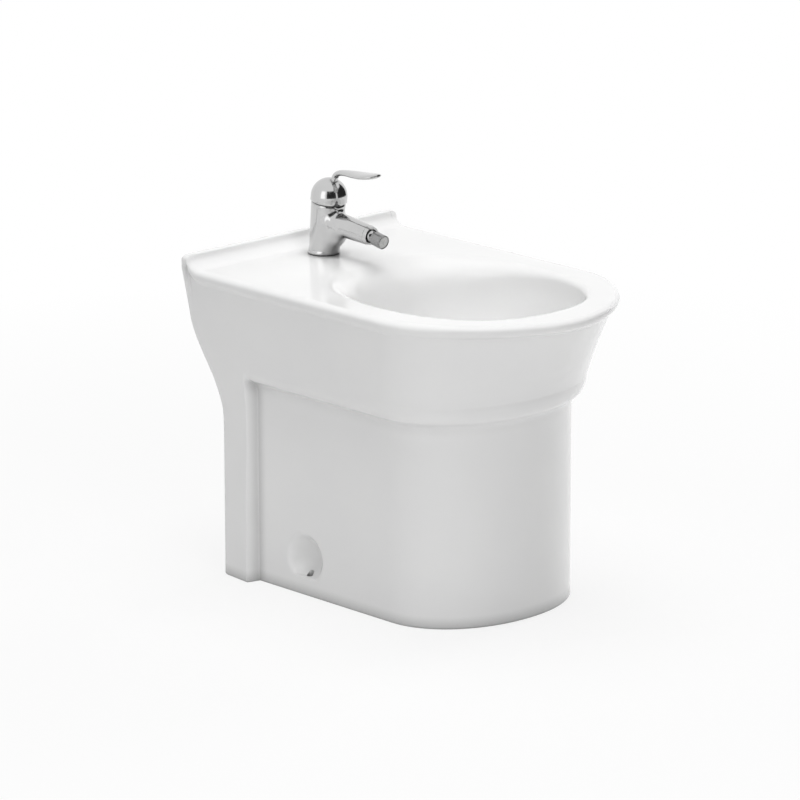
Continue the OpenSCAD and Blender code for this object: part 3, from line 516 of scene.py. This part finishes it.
def deck_row(side_in, back_in, drop):
    x, y = station_xy(rim_outline(side_in, back_in))
    return np.stack([x, y, DECK_H - drop + upstand(y)], 1)


# Each station's direction round the bowl, and how far the bowl's lip is rounded there
rim_x, rim_y = station_xy(rim_outline(0, 0))
PHI = np.arctan2(-rim_x, rim_y - BOWL_Y)
LIP = mix(LIP_R, LIP_BACK_R, ((1 + np.cos(PHI)) / 2) ** 3)


def oval_r(a, b):
    x, y = np.abs(np.sin(PHI) / a), np.abs(np.cos(PHI) / b)
    return (x ** BOWL_POWER + y ** BOWL_POWER) ** (-1 / BOWL_POWER)


def polar(centre_y, r, z):
    return np.stack([-r * np.sin(PHI), centre_y + r * np.cos(PHI), np.broadcast_to(z, COUNT)], 1)


def lip_row(turn, out=0.0):
    """A row of the bowl's lip, from 0 degrees on the deck to 90 where it enters the bowl."""
    rim_r = oval_r(BOWL_W / 2, BOWL_L / 2) + LIP_R
    s, c = math.sin(math.radians(turn)), math.cos(math.radians(turn))
    return polar(BOWL_Y, rim_r - LIP * s + out, DECK_H - LIP * (1 - c))


def bowl_row(a, out=0.0):
    """A row of the bowl, from 0 degrees at its lip to 90 at the waste, or out under it for its underside."""
    lip = lip_row(90, out)
    share = 1 - max(0.0, math.cos(math.radians(a))) ** (2 / BOWL_CURVE)
    drop = max(0.0, math.sin(math.radians(a))) ** (2 / BOWL_CURVE)
    end = polar(WASTE_Y, FLANGE_D / 2 + 4 + out / 2, 0.0)
    x, y = mix(lip[:, 0], end[:, 0], share), mix(lip[:, 1], end[:, 1], share)
    return np.stack([x, y, mix(lip[:, 2], BOWL_FLOOR - out, drop)], 1)


def flat_row(a, b, t, z):
    row = mix(a, b, t)
    row[:, 2] = z
    return row


def inner_row(z, d):
    """A row of the hollow inside, d under the skin and with a pad behind the fixing pocket."""
    pad_reach = 1.9
    row = skin_row(z, d)
    away = np.hypot(row[:, 1] - POCKET_Y, z - POCKET_Z - POCKET_R / 2) / POCKET_R
    pad = (POCKET_DEPTH + WALL_T / 2) * ease(pad_reach - away)
    row[:, 0] += np.where(row[:, 0] < -BASE_W / 4, pad, 0.0)
    row[:, 2] = z
    return row


def pocket(row):
    """The floor fixing pocket pressed into the side: a ball's hollow over a small level ledge."""
    rise, ledge_run, soft, reach, far_out = 0.72 * POCKET_R, 2.4, 8.0, 45, -400.0
    row = row.copy()
    dy, dz = row[:, 1] - POCKET_Y, row[:, 2] - POCKET_Z - rise
    inside = POCKET_R ** 2 - dy ** 2 - dz ** 2
    ball = -(BASE_W / 2 - POCKET_DEPTH + POCKET_R) + np.sqrt(np.maximum(0, inside))
    ball = np.where(inside > 0, ball, far_out)
    ledge = ease((row[:, 2] - POCKET_Z + ledge_run / 2) / ledge_run)
    h = np.maximum(soft - np.abs(ball - row[:, 0]), 0) / soft
    pushed = np.maximum(ball, row[:, 0]) + h * h * soft / 4
    near = (np.abs(dy) < reach) & (row[:, 0] < -BASE_W / 4)
    row[:, 0] = np.where(near, mix(row[:, 0], pushed, ledge), row[:, 0])
    return row


def body_rows():
    """Rows of one half: from the waste hole over bowl and deck, down the outside and back up inside."""
    # waste hole and its recess, then the bowl up to its lip
    waste = [
        (22.45, -WALL_T), (22.45, -6), (22.45, -3.4), (22.9, -3.0), (28, -3.0), (32.2, -3.0),
        (33.0, -2.6), (33.0, -0.9), (33.5, -0.2), (34.4, 0.0),
    ]
    rows = [polar(WASTE_Y, r, BOWL_FLOOR + z) for r, z in waste]
    bowl = [90, 86, 82, 78, 73, 68, 63, 58, 53, 48, 43, 38, 33, 28, 23, 18, 14, 10, 7, 4.5, 2.5]
    rows += [bowl_row(a) for a in bowl]
    rows += [lip_row(t) for t in range(90, -1, -9)]
    rim, lip = deck_row(20, UP_T + UP_RUN + 2, 0), lip_row(0)
    rows += [flat_row(rim, lip, t, DECK_H) for t in (0.9, 0.75, 0.5, 0.25, 0.1)]
    # deck and the hollow curve up to the upstand
    rows.append(rim)
    back = [
        35, 32, 28.5, 25, 22, 19.5, 17.5, 16, 15, 14.2, 13.6, 13.1, 12.7, 12.4, 12.1, 11.7, 11.2, 10.6,
        9.9, 9,
    ]
    rows += [deck_row(mix(19.5, 11, i / (len(back) - 1)), b, 0) for i, b in enumerate(back)]
    for a in range(0, 91, 9):
        s, c = math.sin(math.radians(a)), math.cos(math.radians(a))
        rows.append(deck_row(10 * (1 - s), mix(6.5, 0.0, s), 7 * (1 - c)))
    # the rolled edge's lower half and its groove
    rows += [edge_row(1 - u ** 2.2, 7 + 10 * u) for u in np.linspace(0.08, 0.98, 13)]
    groove = len(rows)
    rows += [skin_row(GROOVE_Z - dz) for dz in (0, 0.8, 1.6, 2.4, 3.2, 4.2, 5.4, 7)]
    rows += [skin_row(z) for z in np.linspace(GROOVE_Z - 9, LEDGE_TOP + 2, 26)]
    # the ledge's rounded lower corner
    for a in np.linspace(90, 0, 19):
        rows.append(pocket(skin_row(LEDGE_Z + LEDGE_ROUND * (1 - math.cos(math.radians(a))))))
    ledge = len(rows)
    # the pedestal down to the foot, with close rows at the pocket's ledge
    heights = [257.4, 256.4, 255.2, 253.8, 252, 249, 245, 240, 234, 226, 217, 208, 198, 188, 178]
    heights += [168, 158, 148, 138, 128, 118, 110, 103, 97] + list(np.arange(92, 27.9, -2.0))
    heights += [27, 26.2, 25.6, 25.2, 24.8, 24.4, 24.0, 23.6, 23.2, 22.8, 22.4, 21.8, 21, 19, 16, 12]
    heights += [8, 5, 3.5, 2.4]
    rows += [pocket(skin_row(z)) for z in heights]
    rows += [skin_row(1.5, 0.15), skin_row(0.7, 0.6), skin_row(0.2, 1.2), skin_row(0, 2.0)]
    # hollow inside, up to the underside of the deck and of the bowl
    rows += [inner_row(0, FOOT_T), inner_row(FOOT_H, FOOT_T), inner_row(FOOT_H + 6, WALL_T)]
    rows += [inner_row(z, WALL_T) for z in (50, 63, 76, 93, 110, 150, 190, 236, 262)]
    under = DECK_H - WALL_T
    rows += [inner_row(z, WALL_T) for z in (LEDGE_TOP + 8, LEDGE_TOP + 50, under - 12)]
    low = inner_row(under - 12, WALL_T + 12)
    rows += [flat_row(low, lip, t, under) for t in (0, 0.4, 0.75)]
    rows += [bowl_row(a, WALL_T) for a in (9, 15, 22, 30, 38, 47, 56, 65, 74, 82, 90)]
    rows = np.array(rows)
    # the groove and the ledge's inner corner are softened along the profile
    for centre, reach, rounds in ((groove, 6, 5), (ledge, 9, 36)):
        weight = np.zeros(len(rows))
        for i in range(centre - reach, centre + reach + 1):
            weight[i] = ease((reach + 1 - abs(i - centre)) / (0.6 * reach))
        for _ in range(rounds):
            step = np.zeros_like(rows)
            step[1:-1] = (rows[:-2] + rows[2:]) / 2 - rows[1:-1]
            rows += 0.5 * weight[:, None, None] * step
    return rows


def arch_cutter():
    points = [(-ARCH_R, -5.0), (ARCH_R, -5.0)]
    for k in range(49):
        a = math.pi * k / 48
        points.append((ARCH_R * math.cos(a), ARCH_H - ARCH_R + ARCH_R * math.sin(a)))
    n = len(points)
    y0, y1 = WALL_Y - FOOT_GAP - WALL_T - 4 - FOOT_T, WALL_Y + 2
    verts = [(x * MM, y * MM, z * MM) for y in (y0, y1) for x, z in points]
    faces = [tuple(range(n)), tuple(range(2 * n - 1, n - 1, -1))]
    faces += [(k, k + n, (k + 1) % n + n, (k + 1) % n) for k in range(n)]
    return new_object("arch_cutter", verts, faces, CERAMIC)


def hole_cutter(x, y, z0, z1, r, segments=64):
    verts, faces = lathe_mesh([(0, z0), (r, z0), (r, z1), (0, z1)], segments)
    verts = [((v[0] + x) * MM, (v[1] + y) * MM, v[2] * MM) for v in verts]
    return new_object("hole_cutter", verts, faces, CERAMIC)


def make_body():
    half = body_rows()
    n_rows = len(half)
    mirror = half[:, -2:0:-1, :] * np.array([-1.0, 1.0, 1.0])
    ring = np.concatenate([half, mirror], axis=1)
    n = ring.shape[1]
    verts = ring.reshape(-1, 3) * MM
    faces = []
    for r in range(n_rows):
        a, b = r * n, ((r + 1) % n_rows) * n
        for i in range(n):
            j = (i + 1) % n
            faces.append((a + i, a + j, b + j, b + i))
    obj = new_object("Ceramic_body", verts, faces, CERAMIC)
    cut(obj, arch_cutter())
    cut(obj, hole_cutter(0, TAP_Y, DECK_H - WALL_T - 3, DECK_H + 3, TAP_HOLE_D / 2))
    x = BASE_W / 2 - POCKET_DEPTH / 2
    for side in (-1, 1):
        cut(obj, hole_cutter(side * x, POCKET_Y, -3, POCKET_Z + 6, SCREW_D / 2, 32))
    smooth(obj, 58.0)
    return obj


body = make_body()
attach(body, "bidet")
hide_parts("ceramic_body")


# ------------------------------------------------------------------ smooth-blended metal castings
def smin(a, b, k):
    h = np.maximum(k - np.abs(a - b), 0) / k
    return np.minimum(a, b) - h * h * k / 4


def smax(a, b, k):
    return -smin(-a, -b, k)


def in_frame(p, origin, degrees):
    """Points seen from a frame at origin, turned about X."""
    q = p - np.array(origin, float)
    c, s = math.cos(math.radians(degrees)), math.sin(math.radians(degrees))
    return np.stack([q[:, 0], c * q[:, 1] + s * q[:, 2], -s * q[:, 1] + c * q[:, 2]], 1)


def cone(q, z0, z1, r0, r1, k=0.6):
    r = np.hypot(q[:, 0], q[:, 1])
    t = (q[:, 2] - z0) / (z1 - z0)
    side = (r - mix(r0, r1, t)) * math.cos(math.atan2(r1 - r0, z1 - z0))
    return smax(side, np.maximum(z0 - q[:, 2], q[:, 2] - z1), k)


def surface_net(field, low, high, step):
    """Points and quads of the field's zero surface in a box, one point for each cell it crosses."""
    low, high = np.array(low, float), np.array(high, float)
    n = np.ceil((high - low) / step).astype(int) + 1
    axes = [low[i] + step * np.arange(n[i]) for i in range(3)]
    grid = np.stack(np.meshgrid(*axes, indexing="ij"), -1)
    values = field(grid.reshape(-1, 3)).reshape(n)
    cells = tuple(n - 1)
    total, count = np.zeros(cells + (3,)), np.zeros(cells)
    quads = []
    for a in range(3):
        first, second = [slice(None)] * 3, [slice(None)] * 3
        first[a], second[a] = slice(0, -1), slice(1, None)
        f0, f1 = values[tuple(first)], values[tuple(second)]
        where = np.argwhere((f0 < 0) != (f1 < 0))
        b, c = ((1, 2), (2, 0), (0, 1))[a]
        for side in (b, c):
            where = where[(where[:, side] > 0) & (where[:, side] < n[side] - 1)]
        key = tuple(where.T)
        v0, v1 = f0[key], f1[key]
        pos = grid[key].copy()
        pos[:, a] += step * v0 / (v0 - v1)
        corners = []
        for db, dc in ((-1, -1), (0, -1), (0, 0), (-1, 0)):
            cell = where.copy()
            cell[:, b] += db
            cell[:, c] += dc
            np.add.at(total, tuple(cell.T), pos)
            np.add.at(count, tuple(cell.T), 1)
            corners.append(np.ravel_multi_index(tuple(cell.T), cells))
        quad = np.stack(corners, 1)
        flip = v0 >= 0
        quad[flip] = quad[flip][:, ::-1]
        quads.append(quad)
    quads = np.concatenate(quads)
    used = np.flatnonzero(count.ravel())
    index = np.full(count.size, -1)
    index[used] = np.arange(len(used))
    points = total.reshape(-1, 3)[used] / count.ravel()[used, None]
    quads = index[quads]
    settle(field, points, step)
    for _ in range(3):
        points = evened(points, quads)
        settle(field, points, step)
    return points, quads


def evened(points, quads):
    """The points halfway to the mean of their neighbours."""
    around, near = np.zeros_like(points), np.zeros(len(points))
    for i in range(4):
        a, b = quads[:, i], quads[:, (i + 1) % 4]
        np.add.at(around, a, points[b])
        np.add.at(around, b, points[a])
        np.add.at(near, a, 1)
        np.add.at(near, b, 1)
    return mix(points, around / np.maximum(near, 1)[:, None], 0.5)


def settle(field, points, step):
    """Move the points onto the field's zero surface, by at most half a step at a time."""
    probe, flattest = 0.02, 0.04
    for _ in range(3):
        value = field(points)
        grad = np.zeros_like(points)
        for i in range(3):
            away = np.zeros(3)
            away[i] = probe
            grad[:, i] = (field(points + away) - field(points - away)) / (2 * probe)
        size = np.maximum((grad ** 2).sum(1), flattest)
        move = grad * (value / size)[:, None]
        length = np.maximum(np.linalg.norm(move, axis=1), 1e-9)
        points -= move * np.minimum(1, 0.5 * step / length)[:, None]


TAP_ORIGIN = (0.0, 0.0, 0.0)
BODY_TOP, BODY_ROOT_R, BODY_TOP_R, PIVOT_S, RIM_BALL = 69.0, 18.7, 22.0, 56.5, 24.3
LEG_LEAN, LEG_L, LEG_R = 38.0, 52.66, 15.3
WAIST_IN, WAIST_S, WAIST_RUN = 3.2, 17.0, 11.0
ARM_L, ARM_ROOT_R, ARM_END_R = 72, 15.5, 12.5
FILLET, SEAM = 7.0, 0.5


def mixer_field(p):
    """Distance-like field of the mixer's casting, from the mixer's foot on the deck."""
    axis = in_frame(p, TAP_ORIGIN, LEAN)
    column = cone(axis, -5, BODY_TOP, BODY_ROOT_R, BODY_TOP_R, SEAM)
    ball = np.sqrt(axis[:, 0] ** 2 + axis[:, 1] ** 2 + (axis[:, 2] - PIVOT_S) ** 2) - RIM_BALL
    column = smax(column, np.where(axis[:, 2] > PIVOT_S, ball, -50.0), SEAM)
    front = in_frame(p, TAP_ORIGIN, LEG_LEAN)
    waist = WAIST_IN * np.exp(-((front[:, 2] - WAIST_S) / WAIST_RUN) ** 2)
    leg = cone(front, -10, LEG_L, LEG_R, LEG_R, 3.0) + waist
    spout = in_frame(p, (0, -SPOUT_REACH, SPOUT_RISE), 90 + DROOP)
    arm = cone(spout, -ARM_L, 0, ARM_ROOT_R, ARM_END_R, SEAM)
    solid = smin(column, smin(leg, arm, FILLET), FILLET)
    # the spout's end is cut flat, and then come the foot and the bores of cartridge, nut and nozzle
    solid = np.where(spout[:, 2] > -0.001, np.maximum(solid, spout[:, 2]), solid)
    foot = cone(p, -1, 4.0, 20.0, 20.0, 1.6)
    solid = smin(solid, foot, 2.5)
    solid = smax(solid, 1.0 - p[:, 2], 0.3)
    for place, low, high, r in ((axis, 64.3, 90, 16.0), (axis, 44, 90, 14.1), (spout, -9, 5, 10.4)):
        solid = smax(solid, -cone(place, low, high, r, r), 0.3)
    return solid


def make_mixer():
    cell = 0.85
    points, quads = surface_net(mixer_field, (-25, -88, -1), (25, 26, 75), cell)
    verts = (points + np.array([0, TAP_Y, DECK_H])) * MM
    return new_object("Mixer_body", verts, quads.tolist(), CHROME, 50.0)


mixer = make_mixer()
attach(mixer, "bidet")
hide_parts("tap_body")

ring = lathe("Base_gasket", [(17, 0), (19.5, 0), (19.5, 1), (17, 1)], TAP, RUBBER, 0.3)
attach(ring, "bidet")
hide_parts("base_ring")


# ------------------------------------------------------------------ handle
# The lever's middle line, as (forward, up) from the mixer's foot, and the measures of its sections
LEVER_PATH = np.array([
    (12, 82), (14, 86), (18, 92), (20.5, 97.5), (22.5, 102.5), (26.5, 106.3), (33, 108.6), (44, 110),
    (56, 110.8), (68, 111.2), (80, 112), (89, 113.2), (95.5, 114.6), (99.3, 115.6), (101, 116.1),
], float)
NECK_W, LEAF_W, NECK_T, LEAF_T = 10.0, 31.0, 7.5, 7.4
LEAF_FROM, LEAF_RUN, TIP_FROM, TIP_RUN, TIP_EDGE = 20, 60, 78, 23.3, 0.55
ROOT_FRONT, ROOT_TOP, ROOT_RUN, ROOT_W, ROOT_T = 24, 94, 12, 5.0, 4.0


def spline(points, per_span):
    """A smooth line through the points, a Catmull-Rom spline with even steps."""
    out = []
    n = len(points)
    for i in range(n - 1):
        p0, p1, p2, p3 = points[max(0, i - 1)], points[i], points[i + 1], points[min(n - 1, i + 2)]
        for k in range(per_span):
            t = k / per_span
            out.append(0.5 * (
                2 * p1 + (p2 - p0) * t + (2 * p0 - 5 * p1 + 4 * p2 - p3) * t ** 2
                + (3 * p1 - p0 - 3 * p2 + p3) * t ** 3
            ))
    out.append(points[-1])
    return np.array(out)


def relax(points, rounds):
    """The line with its bends evened out and its two ends kept."""
    points = points.copy()
    for _ in range(rounds):
        points[1:-1] = points[1:-1] * 0.5 + (points[:-2] + points[2:]) * 0.25
    return points


def lever_mesh():
    """The lever: oval sections along its line, from a flared root inside the cap to the leaf's tip."""
    line = relax(spline(LEVER_PATH, 8), 16)
    sides = 40
    verts = []
    for i, (f, up) in enumerate(line):
        a, b = line[max(0, i - 1)], line[min(len(line) - 1, i + 1)]
        d = (b - a) / np.linalg.norm(b - a)
        share = clamp01((f - LEAF_FROM) / LEAF_RUN)
        tip = math.sqrt(max(0.0, 1 - clamp01((f - TIP_FROM) / TIP_RUN) ** 2))
        half_w = mix(NECK_W, LEAF_W, ease(share)) / 2 * tip
        half_t = mix(NECK_T, LEAF_T, ease(2 * share)) / 2 * tip ** TIP_EDGE
        flare = clamp01((ROOT_TOP - up) / ROOT_RUN) ** 2 if f < ROOT_FRONT else 0.0
        half_w += ROOT_W * flare
        half_t += ROOT_T * flare
        for k in range(sides):
            t = 2 * math.pi * k / sides
            rise = half_t * math.sin(t)
            verts.append((half_w * math.cos(t), -(f - d[1] * rise), up + d[0] * rise))
    n = len(line)
    faces = [tuple(range(sides)), tuple(range(n * sides - 1, (n - 1) * sides - 1, -1))]
    for i in range(n - 1):
        for k in range(sides):
            a, b = i * sides + k, i * sides + (k + 1) % sides
            faces.append((a, a + sides, b + sides, b))
    return verts, faces


def arc(radius, height, degrees):
    """Profile points on a circle round the axis's point at height, from 0 degrees at its side to 90 above."""
    angles = [math.radians(a) for a in degrees]
    return [(radius * math.cos(a), height + radius * math.sin(a)) for a in angles]


def make_handle():
    """The domed cap outside and inside, the boss for the stem in it, and the lever."""
    cap_r, wall, rim_s, mid_s = 23.2, 2.6, 70.0, 76.5
    hollow_r = cap_r - wall
    outer = [
        (hollow_r, rim_s + 0.6), (hollow_r + 0.5, rim_s), (cap_r - 0.6, rim_s),
        (cap_r, rim_s + 0.7), (cap_r, rim_s + 3),
    ]
    outer += arc(cap_r, mid_s, range(0, 90, 3)) + [(0, mid_s + cap_r)]
    inner = [(0, mid_s + cap_r - wall)] + arc(hollow_r, mid_s, range(87, -1, -3)) + [outer[0]]
    boss = rounded([(3.3, 77.5), (7.5, 77.5), (7.5, 97), (3.3, 97)], 0.6, True)
    shells = (
        (AXIS, lathe_mesh(outer, 128)), (AXIS, lathe_mesh(inner, 128)),
        (AXIS, lathe_mesh(boss, 48, True)), (TAP, lever_mesh()),
    )
    verts, faces = [], []
    for place, (points, corners) in shells:
        first = len(verts)
        verts += [place @ (Vector(v) * MM) for v in points]
        faces += [tuple(i + first for i in f) for f in corners]
    return new_object("Handle", verts, faces, CHROME, 50.0)


handle = make_handle()
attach(handle, "handle")
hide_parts("handle")

# The small plug over the grub screw, a shallow button at the back of the cap
plug_place = AXIS @ shift(0, 0, 83) @ turn_x(-90)
button = lathe(
    "Handle_button",
    [(0, 18.5), (2.6, 18.5), (2.6, 22.4), (2.35, 22.75), (1.6, 22.95), (0, 23.0)],
    plug_place, CHROME, 0.15, 48, closed=False,
)
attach(button, "handle")
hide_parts("handle_plug")

# ------------------------------------------------------------------ swivel nozzle
BALL_R = 8.5
BARREL_S = BALL_R + 1
collar = lathe(
    "Nozzle_collar",
    [(8.6, 0.2), (8.56, 1.4), (8.3, 2.8), (8.0, 3.9), (8.95, 5.2), (11.2, 5.2), (12.5, 0), (10.3, 0),
     (10.3, -2.9), (8.6, -2.9)],
    SPOUT, CHROME, 0.25,
)
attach(collar, "bidet")
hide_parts("nozzle_collar")

ball_profile = [(3.4, -7.79)]
ball_profile += [(r, s, 0) for r, s in arc(BALL_R, 0, range(-66, 53, 3))]
ball_profile += [(5.0, 7.4, 0.5), (5.0, 14.0), (3.4, 14.0)]
ball = lathe("Swivel_ball", ball_profile, NOZZLE, CHROME, 0.2)
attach(ball, "nozzle")
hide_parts("swivel_ball")

barrel_profile = [
    (5.05, 0), (7.9, 0), (9.0, 1.2), (9.0, 2.6), (8.8, 2.9), (8.8, 3.2), (9.0, 3.5), (9.0, 13.2),
    (8.75, 13.6), (8.75, 14.1), (9.0, 14.5), (9.0, 16.3), (8.4, 17), (7.5, 17), (7.5, 4.5), (5.05, 4.5),
]
barrel = lathe(
    "Nozzle_barrel", [(r, BARREL_S + s) for r, s in barrel_profile], NOZZLE, NOZZLE_CHROME, 0.3, angle=60,
)
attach(barrel, "nozzle")
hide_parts("nozzle_barrel")

# ------------------------------------------------------------------ plug in the bowl
FLANGE_Z, FLANGE_T, SEAT_GAP, PLUG_SEAL_T = -1.8, 2.5, 0.3, 1.6
CAP_Z = FLANGE_Z + FLANGE_T + SEAT_GAP + PLUG_SEAL_T
plug_profile = [
    (0, -8.6), (6, -8.6), (6, 0, 1.0), (29, 0), (30, 0.9), (30, 1.9),
    (29.2, 2.3), (24, 3.5, 3), (16, 4.9, 3), (8, 5.75, 3), (0, 6.0),
]
plug = lathe(
    "Plug_cap", [(r, CAP_Z + z, *corner) for r, z, *corner in plug_profile],
    WASTE, CHROME, 0.4, 128, closed=False,
)
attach(plug, "plug")
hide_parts("plug_cap")

# ------------------------------------------------------------------ floor, camera, light
def plain_material(name):
    mat = bpy.data.materials.new(name)
    mat.use_nodes = True
    mat.node_tree.nodes.clear()
    return mat, mat.node_tree.nodes, mat.node_tree.links


def seen_directly(nodes, links):
    """1 for a ray from the camera, off a mirror or through glass, and 0 for the others."""
    path = nodes.new("ShaderNodeLightPath")
    factor = path.outputs["Is Camera Ray"]
    for kind in ("Is Glossy Ray", "Is Transmission Ray"):
        either = nodes.new("ShaderNodeMath")
        either.operation = "MAXIMUM"
        links.new(factor, either.inputs[0])
        links.new(path.outputs[kind], either.inputs[1])
        factor = either.outputs[0]
    return factor


def stage_mesh(name, verts, faces, material):
    """A mesh of the room round the object, which isn't a part of it."""
    mesh = bpy.data.meshes.new(name)
    mesh.from_pydata(verts, [], faces)
    mesh.materials.append(material)
    obj = bpy.data.objects.new(name, mesh)
    bpy.context.scene.collection.objects.link(obj)
    return obj


def make_floor():
    mat, nodes, links = plain_material("pale_floor")
    out = nodes.new("ShaderNodeOutputMaterial")
    blend = nodes.new("ShaderNodeMixShader")
    glow = nodes.new("ShaderNodeEmission")
    matt = nodes.new("ShaderNodeBsdfDiffuse")
    matt.inputs["Color"].default_value = (0.9, 0.9, 0.9, 1)
    seen = seen_directly(nodes, links)
    # the floor runs out into the white backdrop with the distance from the object
    coords = nodes.new("ShaderNodeTexCoord")
    away = nodes.new("ShaderNodeVectorMath")
    away.operation = "LENGTH"
    links.new(coords.outputs["Object"], away.inputs[0])
    fade = nodes.new("ShaderNodeMapRange")
    fade.inputs["From Min"].default_value = 0.45
    fade.inputs["From Max"].default_value = 1.6
    fade.inputs["To Min"].default_value = 0.8
    fade.inputs["To Max"].default_value = 1.0
    links.new(away.outputs["Value"], fade.inputs["Value"])
    share = nodes.new("ShaderNodeMath")
    share.operation = "MULTIPLY"
    links.new(seen, share.inputs[0])
    links.new(fade.outputs["Result"], share.inputs[1])
    links.new(share.outputs[0], blend.inputs["Fac"])
    links.new(matt.outputs[0], blend.inputs[1])
    links.new(glow.outputs[0], blend.inputs[2])
    links.new(blend.outputs[0], out.inputs["Surface"])
    # a hair under the foot, so that the two surfaces don't meet in one plane
    half, drop = 30.0, 0.0002
    corners = [(-half, -half, 0), (half, -half, 0), (half, half, 0), (-half, half, 0)]
    floor = stage_mesh("Floor", corners, [(0, 1, 2, 3)], mat)
    floor.location.z = -drop


def make_world():
    world = bpy.data.worlds.new("Studio")
    bpy.context.scene.world = world
    world.use_nodes = True
    nodes, links = world.node_tree.nodes, world.node_tree.links
    nodes.clear()
    out = nodes.new("ShaderNodeOutputWorld")
    blend = nodes.new("ShaderNodeMixShader")
    light = nodes.new("ShaderNodeBackground")
    light.inputs["Strength"].default_value = 0.16
    white = nodes.new("ShaderNodeBackground")
    white.inputs["Color"].default_value = (1, 1, 1, 1)
    white.inputs["Strength"].default_value = 1.0
    links.new(seen_directly(nodes, links), blend.inputs["Fac"])
    links.new(light.outputs[0], blend.inputs[1])
    links.new(white.outputs[0], blend.inputs[2])
    links.new(blend.outputs[0], out.inputs["Surface"])


def screen(name, turns, top, level):
    """A part of the room's wall that only mirrors see, between two directions round the object."""
    mat, nodes, links = plain_material(name)
    out = nodes.new("ShaderNodeOutputMaterial")
    glow = nodes.new("ShaderNodeEmission")
    glow.inputs["Color"].default_value = grey(level)
    links.new(glow.outputs[0], out.inputs["Surface"])
    reach, steps = 3.2, 24
    verts = []
    for k in range(steps + 1):
        a = math.radians(mix(turns[0], turns[1], k / steps))
        for z in (0.0, top):
            verts.append((reach * math.sin(a), -reach * math.cos(a), z))
    faces = [(2 * k, 2 * k + 2, 2 * k + 3, 2 * k + 1) for k in range(steps)]
    wall = stage_mesh(name, verts, faces, mat)
    wall.visible_camera = False
    wall.visible_diffuse = False
    wall.visible_shadow = False


def area(name, place, aim, size, power, mirrored=False):
    light = bpy.data.lights.new(name, "AREA")
    light.shape = "RECTANGLE"
    light.size = size
    light.size_y = size
    light.energy = power
    obj = bpy.data.objects.new(name, light)
    # the glaze and the chrome mirror the white room, not the large lamps' outlines
    obj.visible_glossy = mirrored
    obj.location = place
    direction = Vector(aim) - Vector(place)
    obj.rotation_euler = direction.to_track_quat("-Z", "Y").to_euler()
    bpy.context.scene.collection.objects.link(obj)


def make_camera():
    """The camera as solved from the picture's outlines. left_by and up_by turn its aim, in pixels."""
    azimuth, elevation, distance, target = -43.685, 15.785, 6.783, (0, -0.0026, 0.1936)
    focal, width, sensor, left_by, up_by = 5451.0, 800.0, 36.0, 31.8, 38.9
    az, el = math.radians(azimuth), math.radians(elevation)
    back = Vector((math.sin(az) * math.cos(el), -math.cos(az) * math.cos(el), math.sin(el)))
    forward = -back
    right = forward.cross(Vector((0, 0, 1))).normalized()
    up = right.cross(forward)
    view = (forward - right * (left_by / focal) + up * (up_by / focal)).normalized()
    view_up = (up - view * up.dot(view)).normalized()
    rotation = Matrix((view.cross(view_up), view_up, -view)).transposed()
    data = bpy.data.cameras.new("Camera")
    data.sensor_width = sensor
    data.lens = focal / width * sensor
    data.clip_end = 200.0
    camera = bpy.data.objects.new("Camera", data)
    place = Vector(target) + back * distance
    camera.matrix_world = Matrix.Translation(place) @ rotation.to_4x4()
    bpy.context.scene.collection.objects.link(camera)
    bpy.context.scene.camera = camera


make_floor()
make_world()
screen("Dark_wall_left", (-61.0, 2.0), 3.1, 0.03)
screen("Dark_wall_right", (12.0, 92.0), 3.1, 0.03)
screen("Bright_wall", (-100.0, -72.0), 2.7, 1.7)
area("Top", (-0.05, 0.1, 2.6), (0, -0.05, 0.3), 1.9, 44.0)
area("Front", (-1.2, -3.2, 1.9), (0, 0, 0.25), 1.6, 30.0)
area("Left", (-3.0, 0.0, 2.0), (0, 0, 0.25), 2.4, 22.0)
area("Right", (2.9, 0.2, 0.6), (0, 0, 0.15), 1.0, 42.0)
area("Sparkle", (-2.55, -2.35, 2.5), (0, 0, 0.35), 0.2, 2.5, mirrored=True)
make_camera()
bpy.context.scene.view_settings.view_transform = "Standard"
